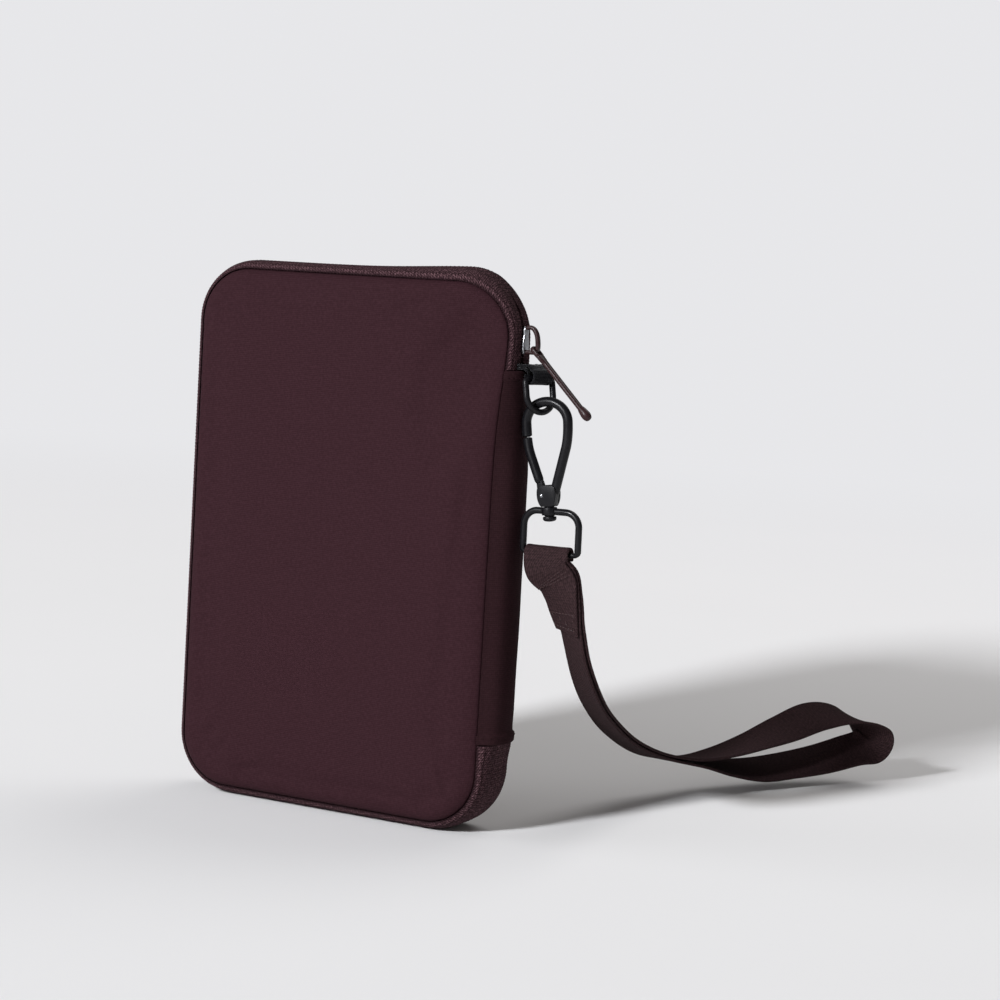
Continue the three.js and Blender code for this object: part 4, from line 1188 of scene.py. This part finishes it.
def webbing(name, path, wide, width, cloth, finish):
    """A strip along a path in millimetres."""
    along = heading(path)
    wide = squared(wide, along)
    grid = swept(path, wide, np.cross(wide, along), webbing_section(width, cloth))
    return surface(name, grid * MM, finish, (False, True), ends=True, sharp=70)


STRAP_STEPS = 14
strap_path = through(STRAP[:, :3], STRAP_STEPS)
strap_wide = through(STRAP[:, 3:], STRAP_STEPS, even=True)
strap_length = float(running_length(strap_path)[-1])
strap = webbing("hand_strap", strap_path, strap_wide, STRAP_WIDTH, STRAP_CLOTH, WEBBING_CLOTH)
put(strap, "strap", "webbing", "wrist_strap")
print("strap", round(strap_length), "mm long,", len(strap.data.polygons), "faces")

# %% [markdown]
# The three layers of the neck are sewn together, with rows across and down the tail. The stitches
# follow the neck's twist, so each row is given by stations down the neck and distances across it.

# %% Stitches on the strap
TAIL_ROWS = [  # first and last station, distances across there, and the number of stitches
    (0.55, 0.55, -8.6, 8.6, 9),
    (0.75, 0.75, -7.6, 7.6, 8),
    (0.95, 0.95, -8.6, 8.6, 9),
    (3.75, 3.75, -8.2, 8.2, 8),
    (2.9, 2.9, -8.2, 8.2, 8),
    (2.95, 3.7, -8.6, -8.6, 3),
    (2.95, 3.7, 8.6, 8.6, 3),
    (2.95, 3.7, -7.0, 7.0, 4),
]


def between(table, at):
    """Rows of a table at places between its rows."""
    rows = np.arange(len(table))
    return np.stack([np.interp(at, rows, column) for column in table.T], -1)


def tail_row(neck, first, last, left, right, count):
    """Middles, directions and normals of one row of stitches on the tail's outside. A row at one
    station runs across, any other runs down."""
    at = np.linspace(first, last, count) * STRAP_STEPS
    row = between(neck, at)
    down = unit(between(neck, at + 1)[:, :3] - row[:, :3])
    wide = squared(width_at(row), down)
    face = -np.cross(wide, down)
    spot = row[:, :3] + face * (1.5 * PLY + STRAP_CLOTH / 2)
    middles = spot + np.linspace(left, right, count)[:, None] * wide
    return middles, wide if first == last else down, face


neck = through(NECK, STRAP_STEPS, even=True)
tail_sets = zip(*(tail_row(neck, *row) for row in TAIL_ROWS))
stitch_row(
    "tail_stitches", *(np.concatenate(rows) for rows in tail_sets), 1.7, 0.2, "strap", "webbing"
)

# %% [markdown]
# ## Ring tab
# A short black webbing loop comes out between the zip's end and the spine, twists towards the
# front, and holds the ring. It is the same kind of strip, on a path of its own.

# %% Ring tab
TAB_WIDTH, TAB_CLOTH_DEPTH, TAB_RADIUS, TAB_YAW = 10.0, 1.0, 2.9, 25.0


def tab_stations():
    """Out from the case, round the ring's bar, and back in below, while the width turns."""
    loop_x, loop_z, root = WIDTH / 2 + 8, GUSSET_TOP - 1.9, WIDTH / 2 + 0.4
    turn = np.radians(80 - 23.5 * np.arange(13))
    out = np.cos(np.radians(TAB_YAW)) * TAB_RADIUS * np.cos(turn)
    front = -np.sin(np.radians(TAB_YAW)) * TAB_RADIUS * np.cos(turn)
    loop = np.stack([loop_x + out, front, loop_z + TAB_RADIUS * np.sin(turn)], -1)
    upper, lower = GUSSET_TOP + 2.3, GUSSET_TOP + 1
    first = np.array([[root, 0, upper], [root + 2.6, 0, upper], [root + 5.6, 0, upper]])
    last = np.array([[root + 3.6, 0, lower], [root + 2, 0, lower], [root, 0, lower]])
    yaw = np.concatenate([[0, 8.75, 20], np.full(len(turn), TAB_YAW), [12.5, 6.25, 0]])
    yaw = np.radians(yaw)
    return np.concatenate([first, loop, last]), np.stack([np.sin(yaw), np.cos(yaw), 0 * yaw], -1)


tab_path, tab_wide = tab_stations()
tab_path, tab_wide = through(tab_path, 6), through(tab_wide, 6, even=True)
tab = webbing("ring_tab_webbing", tab_path, tab_wide, TAB_WIDTH, TAB_CLOTH_DEPTH, TAB_CLOTH)
put(tab, "spine", "tab_webbing", "ring_tab")
tab_length = float(running_length(tab_path)[-1])
print("ring tab", round(tab_length, 1), "mm long")

# %% [markdown]
# ## Ring, hook and frame
# Ring, hook and frame are bent from round rod, so each is a circle carried along its path. The
# solids have eight-sided rods to stay light; these follow nearly the same paths with more sides,
# soft ends and rounded plates. Each is drawn in its own plane, then tilted, turned and moved.


# %% Rod helpers
def placed(points, origin, tilt, yaw=0.0):
    """Turns points about Y by tilt (the foot swings outwards), about Z by yaw, and moves them."""
    (ct, st), (cy, sy) = ((math.cos(a), math.sin(a)) for a in np.radians([tilt, yaw]))
    x, y, z = points[..., 0], points[..., 1], points[..., 2]
    x, z = x * ct - z * st, x * st + z * ct
    return np.stack([x * cy - y * sy, x * sy + y * cy, z], -1) + np.asarray(origin)


def arc(x, z, radius, start, stop, step=6.0):
    """Points of a circle from start to stop degrees in the XZ plane."""
    count = max(int(abs(stop - start) / step) + 1, 3)
    turn = np.radians(np.linspace(start, stop, count))
    return np.stack([x + radius * np.cos(turn), z + radius * np.sin(turn)], -1)


def curve2(start, control, end, count=10):
    """A quadratic curve: (1-t)^2 start + 2t(1-t) control + t^2 end."""
    t = np.linspace(0, 1, count)[:, None]
    start, control, end = (np.array(point) for point in (start, control, end))
    return (1 - t) ** 2 * start + 2 * t * (1 - t) * control + t**2 * end


def in_plane(path):
    """Points (x, z) as points of the XZ plane."""
    return np.stack([path[..., 0], 0 * path[..., 0], path[..., 1]], -1)


def rod_grid(path, radius, closed=False, sides=18):
    """A circle carried along a path of the XZ plane. radius is one number, or one per point."""
    side = in_plane(left_of(heading(path, closed)))
    section = round_section(1.0, sides)[None] * np.broadcast_to(radius, len(path))[:, None, None]
    return swept(in_plane(path), side, same([0, 1, 0], len(path)), section)


def closed_path(points, step):
    """Even points round a closed line."""
    return resample(np.concatenate([points, points[:1]]), step=step)[:-1]


def plate_grid(shape, depth, bevel=0.35, step=0.45):
    """A plate of the XZ plane with rounded edges: its outline at eight depths, drawn in by the
    bevel at both faces along the outline's own normal."""
    edge = closed_path(np.asarray(shape, float), step)
    ahead = np.roll(edge, -1, 0)
    area = (edge[:, 0] * ahead[:, 1] - ahead[:, 0] * edge[:, 1]).sum()
    inward = left_of(heading(edge, closed=True)) * np.sign(area)
    turn = np.linspace(0, np.pi / 2, 4)
    draw = bevel * (1 - np.sin(turn))
    y = depth / 2 - bevel + bevel * np.cos(turn)
    draw, y = np.concatenate([draw, draw[::-1]]), np.concatenate([y, -y[::-1]])
    rings = in_plane(edge[None] + draw[:, None, None] * inward[None])
    rings[..., 1] = y[:, None]
    return rings


def turned(profile, sides=32):
    """A profile of (radius, height) turned about the Z axis."""
    profile = np.asarray(profile, float)
    turn = np.linspace(0, 2 * np.pi, sides, endpoint=False)
    x = profile[:, :1] * np.cos(turn)
    y = profile[:, :1] * np.sin(turn)
    return np.stack([x, y, np.broadcast_to(profile[:, 1:], x.shape)], -1)


def end_round(count, first=True, last=True, steps=6):
    """Factors for a rod's radius that round off its ends."""
    factor = np.ones(count)
    round_off = np.sqrt(1 - np.linspace(0.85, 0, steps) ** 2)
    if first:
        factor[:steps] = round_off
    if last:
        factor[-steps:] = round_off[::-1]
    return factor


def hardware(name, grid, body, slot, *nodes, closed=False):
    """One metal piece from a grid in millimetres, on its body, with its slot's finish. A closed
    grid joins end to end."""
    piece = surface(name, grid * MM, FINISH_OF_SLOT[slot], (closed, True), not closed, 40)
    return put(piece, body, slot, *nodes)


print("rod helpers ready")

# %% [markdown]
# The ring has a straight bar inside the tab and a round bow below. The hook's rod rises from its
# block, turns over the ring and comes down to the nose, where the sprung gate closes it.

# %% Ring and hook
RING_BAR, RING_TILT, RING_YAW, RING_ROD = (83.5, 0.0, 188.7), 12, -25, 1.3
HOOK_CROWN, HOOK_TILT, HOOK_ROD = (87.361, -1.054, 181.012), 6.5, 2.0
CHEEK_Y, CHEEK_DEPTH, WEB_DEPTH = 2.03, 1.14, 3.2


def on_hook(grid):
    """Moves a grid from the hook's own plane to its place."""
    return placed(grid, HOOK_CROWN, HOOK_TILT)


ring_path = np.concatenate(
    [arc(5.2, -1.6, 1.6, 90, 0, 15), arc(0, -6.75, 6.8, 0, -180), arc(-5.2, -1.6, 1.6, 180, 90, 15)]
)
ring = rod_grid(closed_path(ring_path, 0.6), RING_ROD, closed=True)
ring = np.stack([-ring[..., 1], ring[..., 0], ring[..., 2]], -1)
ring = placed(ring, RING_BAR, RING_TILT, RING_YAW)
hardware("ring", ring, "ring", "black_metal", "d_ring", closed=True)

rod_path = np.concatenate(
    [
        [[-8.6, -15.12]],
        arc(0.6, -9.55, 9.3, 180, 0, 5) * [1, 0.9] - [0, 0.95],
        curve2((9.9, -9.55), (9.9, -15.5), (8.6, -20))[1:],
        [[2.7, -38.0]],
    ]
)
rod_path = resample(rod_path, step=0.5)
rod = rod_grid(rod_path, HOOK_ROD * end_round(len(rod_path), last=False, steps=2), sides=20)
hardware("hook_rod", on_hook(rod), "hook", "black_metal", "hook_body")

block = np.concatenate(
    [
        curve2((-4.3, -37.6), (-4.2, -34.9), (-1.9, -34.8)),
        curve2((1.9, -34.8), (4.1, -34.9), (4.2, -37.6)),
        curve2((4.2, -37.6), (4.3, -41.5), (2.6, -43.5))[1:],
        curve2((-2.6, -43.5), (-4.5, -41.5), (-4.3, -37.6))[:-1],
    ]
)
web = np.concatenate(
    [
        [[0.25, -34.7], [3.9, -34.7]],
        curve2((3.9, -34.7), (4.6, -39), (2.9, -43.5))[1:],
        [[-2.9, -43.5], [-3.4, -42.2], [0.25, -42.2]],
    ]
)
for label, y in (("front", -CHEEK_Y), ("back", CHEEK_Y)):
    cheek = plate_grid(block, CHEEK_DEPTH, 0.3) + np.array([0, y, 0])
    hardware(f"hook_cheek_{label}", on_hook(cheek), "hook", "black_metal")
hardware("hook_web", on_hook(plate_grid(web, WEB_DEPTH, 0.1)), "hook", "black_metal")
post_profile = [
    [0.01, -49.2], [1.5, -49.2], [1.5, -47.6], [2.1, -47.4], [2.1, -43.2], [0.01, -43.2],
]
hardware("swivel_post", on_hook(turned(post_profile)), "hook", "black_metal")
rivet_profile = [
    [1.8, -47.6], [2.6, -47.6], [2.75, -47.8], [2.8, -48.4], [2.65, -48.9], [2.2, -49.3],
    [1.5, -49.5], [0.6, -49.6], [0.01, -49.6],
]
hardware("rivet_head", on_hook(turned(rivet_profile)), "hook", "black_metal", "swivel_rivet")
print("hook rod", len(rod_path), "rings")

# %% [markdown]
# The gate is a shorter rod with a tongue between the block's cheeks. It turns on a steel pin, and a
# small coil spring in the block pushes it shut.

# %% Gate
GATE_ROD, GATE_PIVOT = 1.9, (-2.2, -39)
SPRING_RADIUS, SPRING_WIRE, SPRING_TURNS, SPRING_LENGTH = 0.75, 0.2, 3, 1.55

gate_line = np.array([[-8.6, -15.3], [-8.0, -20], [-5.9, -27], [-3.6, -34.1]])
gate_path = resample(through(gate_line, 8), step=0.4)
gate_size = GATE_ROD * end_round(len(gate_path), last=False, steps=2)
gate = rod_grid(gate_path, gate_size * end_round(len(gate_path), first=False))
hardware("gate_rod", on_hook(gate), "gate", "black_metal", "hook_gate")
tongue = np.concatenate(
    [[[-5, -32.3], [-4.5, -38.2]], arc(*GATE_PIVOT, 2.1, 180, 342, 12), [[-2.4, -32.9]]]
)
hardware("gate_tongue", on_hook(plate_grid(tongue, 2.2, 0.25)), "gate", "black_metal")
pin_profile = [[0.01, -2.85], [0.5, -2.8], [0.75, -2.6], [0.75, 2.6], [0.5, 2.8], [0.01, 2.85]]
pin = turned(pin_profile, 20)[..., [0, 2, 1]] + in_plane(np.array(GATE_PIVOT, float))
hardware("gate_pivot", on_hook(pin), "hook", "steel", "gate_pin")

spring_turn = np.linspace(0, SPRING_TURNS * 2 * np.pi, 73)
spring_out = np.stack([0 * spring_turn, np.cos(spring_turn), np.sin(spring_turn)], -1)
spring_path = SPRING_RADIUS * spring_out + np.array([0.45, 0, -39.4])
spring_path[:, 0] += SPRING_LENGTH * spring_turn / spring_turn[-1]
spring_up = np.cross(spring_out, heading(spring_path))
spring = swept(spring_path, spring_out, spring_up, round_section(SPRING_WIRE, 8))
hardware("gate_coil", on_hook(spring), "hook", "steel", "gate_spring")
print("gate rod", len(gate_path), "rings, spring", SPRING_TURNS, "turns")

# %% [markdown]
# The frame turns on the hook's post and carries the strap on its lower bar. The eye round the post
# is a short thick ring, so its profile is a closed loop turned about the post.

# %% Swivel frame
EYE_Z, FRAME_ROD, BAR_ROD = -45.4, 1.4, 1.1
FRAME_EYE = on_hook(np.array([0.0, 0.0, EYE_Z]))
FRAME_DROP = FRAME_EYE[2] - STRAP_BAR[2]
frame_path = np.concatenate(
    [
        [[2.6, 0]],
        arc(7.5, -6, 6, 90, 0),
        arc(11.9, 1.6 - FRAME_DROP, 1.6, 0, -90, 15),
        arc(-9.6, 1.6 - FRAME_DROP, 1.6, -90, -180, 15),
        arc(-5.2, -6, 6, 180, 90),
        [[-2.6, 0]],
    ]
)
frame_path = resample(frame_path, step=0.6)
above_bar = smoothstep((frame_path[:, 1] + FRAME_DROP) / 1.2)
frame_rod = rod_grid(frame_path, BAR_ROD + (FRAME_ROD - BAR_ROD) * above_bar)
frame_rod = placed(frame_rod, FRAME_EYE, FRAME_TILT)
hardware("frame_rod", frame_rod, "frame", "black_metal", "swivel_frame")
eye = turned(flat_section(0.95, 3.2, 0.4) + np.array([2.725, EYE_Z]))
hardware("frame_eye", on_hook(eye), "frame", "black_metal", closed=True)
print("frame's bar is", round(FRAME_DROP, 1), "mm below its eye")

# %% [markdown]
# ## Slider and pull
# The slider is two plates with a wedge between them and a bridge on top. Plates come from outlines,
# and the bridge is a flat section swept along a bent path.

# %% Slider
FACE, SLIDER_Z, PLATE = WIDTH / 2, HEIGHT - CORNER, 1.3
OUTER_X, INNER_X = FACE + 0.35 + PLATE / 2, FACE - 1.3 - 0.9 - PLATE / 2
TOP_NARROWER = [0.5, 1]
WING = np.array(
    [
        [-3.8, -5.5], [3.8, -5.5], [4.6, -4.3], [4.6, -0.5], [3.3, 2], [3.3, 4.5], [2.4, 5.5],
        [-2.4, 5.5], [-3.3, 4.5], [-3.3, 2], [-4.6, -0.5], [-4.6, -4.3],
    ]
)
WEDGE = np.array([[-1.3, -4], [1.3, -4], [1.0, -0.8], [-1.0, -0.8]])
BRIDGE = np.array(  # out from the case's face, and up from the slider's middle
    [
        [1.0, 4.7], [2.7, 5.2], [4.5, 4.7], [6.0, 2.6], [6.7, -0.6],
        [6.7, -3.4], [5.8, -4.7], [3.4, -4.85], [1.0, -4.85],
    ]
)


def on_edge(grid, x):
    """Turns a plate from the XZ plane so that it faces outwards at the slider's place."""
    return np.stack([x - grid[..., 1], grid[..., 0], grid[..., 2] + SLIDER_Z], -1)


top = on_edge(plate_grid(WING * TOP_NARROWER, PLATE, 0.45), OUTER_X)
hardware("slider_top", top, "slider", "steel", "zip_slider")
hardware("slider_base", on_edge(plate_grid(WING, PLATE, 0.45), INNER_X), "slider", "enamel")
wedge = on_edge(plate_grid(WEDGE, OUTER_X - INNER_X, 0.2), (OUTER_X + INNER_X) / 2)
hardware("slider_wedge", wedge, "slider", "enamel")
bridge_path = resample(through(BRIDGE + np.array([FACE, SLIDER_Z]), 8), step=0.3)
bridge = swept(
    in_plane(bridge_path),
    same([0, 1, 0], len(bridge_path)),
    in_plane(left_of(heading(bridge_path))),
    flat_section(2.4, 1.7, 0.7),
)
hardware("slider_bridge", bridge, "slider", "enamel")
print("bridge", len(bridge_path), "rings")

# %% [markdown]
# The pull hangs on the bridge by an eye, narrows to a bar, and ends in a round bulb. It is drawn
# hanging straight down and then turned to where it rests.

# %% Pull
PULL_PIVOT, PULL_SLANT, BAR_RINGS = (FACE + 4.7, 0.0, SLIDER_Z - 2.85), 45, 80
BAR_DOWN = np.array([-4.85, -5.2, -6.6, -8.4, -12, -20, -28, -35])
BAR_HALF = np.array([2.6, 2.65, 2.45, 1.8, 1.74, 1.67, 1.62, 1.6])
BULB = np.array([[0.02, 0], [1.4, 0.5], [2.1, 2], [2, 4], [1.3, 6.5], [0.3, 7.1], [0.02, 7.2]])


def on_pull(grid):
    """Moves a grid from the pull's own axes, hanging down, to where it rests."""
    return placed(grid, PULL_PIVOT, PULL_SLANT)


def upright(path):
    """Points (y, z) as points of the YZ plane."""
    return np.stack([0 * path[:, 0], path[:, 0], path[:, 1]], -1)


eye_path = closed_path(flat_section(4.3, 4.7, 1.2, 6) + np.array([0, -2.6]), 0.3)
eye_ring = swept(
    upright(eye_path),
    same([1, 0, 0], len(eye_path)),
    upright(left_of(heading(eye_path, closed=True))),
    flat_section(1.7, 1.05, 0.4),
)
hardware("pull_eye", on_pull(eye_ring), "pull", "enamel", "zip_pull", closed=True)
down = np.linspace(BAR_DOWN[0], BAR_DOWN[-1], BAR_RINGS)
bar_size = np.stack([np.ones(BAR_RINGS), np.interp(-down, -BAR_DOWN, BAR_HALF)], -1)
bar_section = flat_section(2.0, 2.0, 0.7)[None, :, ::-1] * bar_size[:, None]
bar_path = np.stack([0 * down, 0 * down, down], -1)
bar = swept(bar_path, same([1, 0, 0], BAR_RINGS), same([0, 1, 0], BAR_RINGS), bar_section)
hardware("pull_bar", on_pull(bar), "pull", "enamel")
bulb = turned(through(BULB, 5) * [0.9, 1] - [0, 38.5])
hardware("pull_bulb", on_pull(bulb), "pull", "enamel")
print("pull rests at", PULL_SLANT, "degrees")

# %% [markdown]
# ## Floor and light
# The photograph has a seamless pale ground, one small lamp from the front left, and a bright room
# all round. A sun lamp would give a shadow that keeps its width, so the key is a round lamp near
# the wallet, whose light spreads but doesn't fade with distance. Two softboxes lift the side and
# the top, and the world gives the room. The floor evens out its own brightness and passes into the
# room's colour far away, so no horizon shows.

# %% Floor
PALE, FLOOR_TINT = (0.80, 0.80, 0.82), (0.97, 0.97, 1.0)
KEY_PLACE = (-0.221, -1.15, 0.613)
ROOM_SHARE, KEY_SHARE, EVEN_LIGHT = 0.437, 0.549, 0.80
FAR_START, FAR_END, FLOOR_Z = 0.5, 2.2, -0.0002


def pale_material():
    """A white diffuse floor, evenly bright: darker near the key lamp, and away from it the camera
    sees it glow by the light that is missing. Far out it passes into the room's colour."""
    material, tree, _ = new_material("pale_floor")
    tree.nodes.clear()
    path = new_node(tree, "ShaderNodeLightPath").outputs
    seen = maths(tree, "MAXIMUM", path["Is Camera Ray"], path["Is Glossy Ray"])
    seen = maths(tree, "MAXIMUM", seen, path["Is Transmission Ray"])
    where = new_node(tree, "ShaderNodeTexCoord").outputs["Object"]
    to_key = new_node(
        tree, "ShaderNodeVectorMath", {0: where, 1: KEY_PLACE}, operation="DISTANCE"
    ).outputs["Value"]
    light = maths(tree, "ADD", ROOM_SHARE, maths(tree, "DIVIDE", KEY_SHARE, to_key))
    dim = maths(tree, "MINIMUM", 1.0, maths(tree, "DIVIDE", EVEN_LIGHT, light))
    tone = ramp(tree, noise_at(tree, where, 3.0), start=0.90, stop=0.93)
    tone = maths(tree, "MULTIPLY", tone, dim)
    colour = new_node(tree, "ShaderNodeCombineColor", {0: tone, 1: tone, 2: tone}).outputs[0]
    matt = new_node(tree, "ShaderNodeBsdfDiffuse", {"Color": colour}).outputs[0]
    missing = maths(tree, "MAXIMUM", maths(tree, "SUBTRACT", EVEN_LIGHT, light), 0.0)
    glow = {"Color": (*FLOOR_TINT, 1), "Strength": maths(tree, "MULTIPLY", seen, missing)}
    glow = new_node(tree, "ShaderNodeEmission", glow).outputs[0]
    both = new_node(tree, "ShaderNodeAddShader", {0: matt, 1: glow}).outputs[0]
    away = new_node(tree, "ShaderNodeVectorMath", {0: where}, operation="LENGTH").outputs["Value"]
    far = ramp(tree, away, FAR_START, FAR_END, interpolation_type="SMOOTHSTEP")
    room = new_node(tree, "ShaderNodeEmission", {"Color": (*PALE, 1), "Strength": 1.0}).outputs[0]
    share = maths(tree, "MULTIPLY", far, seen)
    last = new_node(tree, "ShaderNodeMixShader", {0: share, 1: both, 2: room}).outputs[0]
    new_node(tree, "ShaderNodeOutputMaterial", {"Surface": last})
    return material


def add_floor(reach=40.0, rows=9):
    """A level sheet at the height that the wallet stands on."""
    line = np.linspace(-reach, reach, rows)
    x, y = np.meshgrid(line, line, indexing="ij")
    floor = surface("floor", np.stack([x, y, np.full_like(x, FLOOR_Z)], -1), pale_material())
    return floor


print("floor", len(add_floor().data.polygons), "faces")

# %% [markdown]
# The key's falloff node makes its light as strong far away as near, so the wallet and the end of
# the loop are lit alike. A lamp close by would otherwise burn out what is nearest to it.

# %% Lamps and room
COOL, WARM, ROOM_COLOUR = (0.96, 0.97, 1.0), (1.0, 0.98, 0.97), (1.0, 0.96, 0.94)
KEY_RADIUS, KEY_POWER, ROOM_STRENGTH = 0.09, 48.0, 0.17
WALLET_MIDDLE = np.array([0, 0, 0.11])


def add_key():
    """A round lamp near the wallet, whose light spreads but doesn't fade with distance."""
    data = bpy.data.lights.new("key", "POINT")
    data.energy, data.shadow_soft_size, data.color = KEY_POWER, KEY_RADIUS, COOL
    data.use_nodes = True
    tree = data.node_tree
    even = new_node(tree, "ShaderNodeLightFalloff", {"Strength": 1.0}).outputs["Constant"]
    feed(tree, tree.nodes["Emission"], {"Strength": even})
    add_object("key", data).location = KEY_PLACE


def add_softbox(name, place, size, power, colour):
    """A broad round lamp that faces the middle of the wallet."""
    data = bpy.data.lights.new(name, "AREA")
    data.shape, data.size, data.energy, data.color = "DISK", size, power, colour
    lamp = add_object(name, data)
    x, y, z = WALLET_MIDDLE - place
    lamp.location = place
    lamp.rotation_euler = (math.pi / 2 - math.atan2(-z, math.hypot(x, y)), 0, math.atan2(-x, y))


def add_room():
    """Even light from all round, which the camera sees as the pale ground."""
    world = bpy.data.worlds.new("room")
    bpy.context.scene.world = world
    world.use_nodes = True
    tree = world.node_tree
    path = new_node(tree, "ShaderNodeLightPath").outputs
    seen = maths(tree, "MAXIMUM", path["Is Camera Ray"], path["Is Transmission Ray"])
    feed(tree, tree.nodes["Background"], {
        "Strength": ramp(tree, seen, start=ROOM_STRENGTH, stop=1.0),
        "Color": mixed(tree, seen, ROOM_COLOUR, PALE),
    })


add_key()
add_softbox("side", np.array([-3.2, -1.7, 1.9]), 3.0, 26.0, COOL)
add_softbox("top", np.array([0.5, 1.6, 2.6]), 2.0, 20.0, WARM)
add_room()
bpy.context.scene.view_settings.view_transform = "Standard"
print("lamps:", len(bpy.data.lights))

# %% [markdown]
# The solids are in the scene as well. Left grey, any that shows would stand out, so each one gets
# the finish of the slot that the record names for it. They are neither moved nor changed in shape.

# %% Plain finishes for the solids
for part in frame["record"]["subparts"]:
    node = NODES[part["node"]]
    node.data.materials.clear()
    node.data.materials.append(FINISH_OF_SLOT[part["material_slot"]])
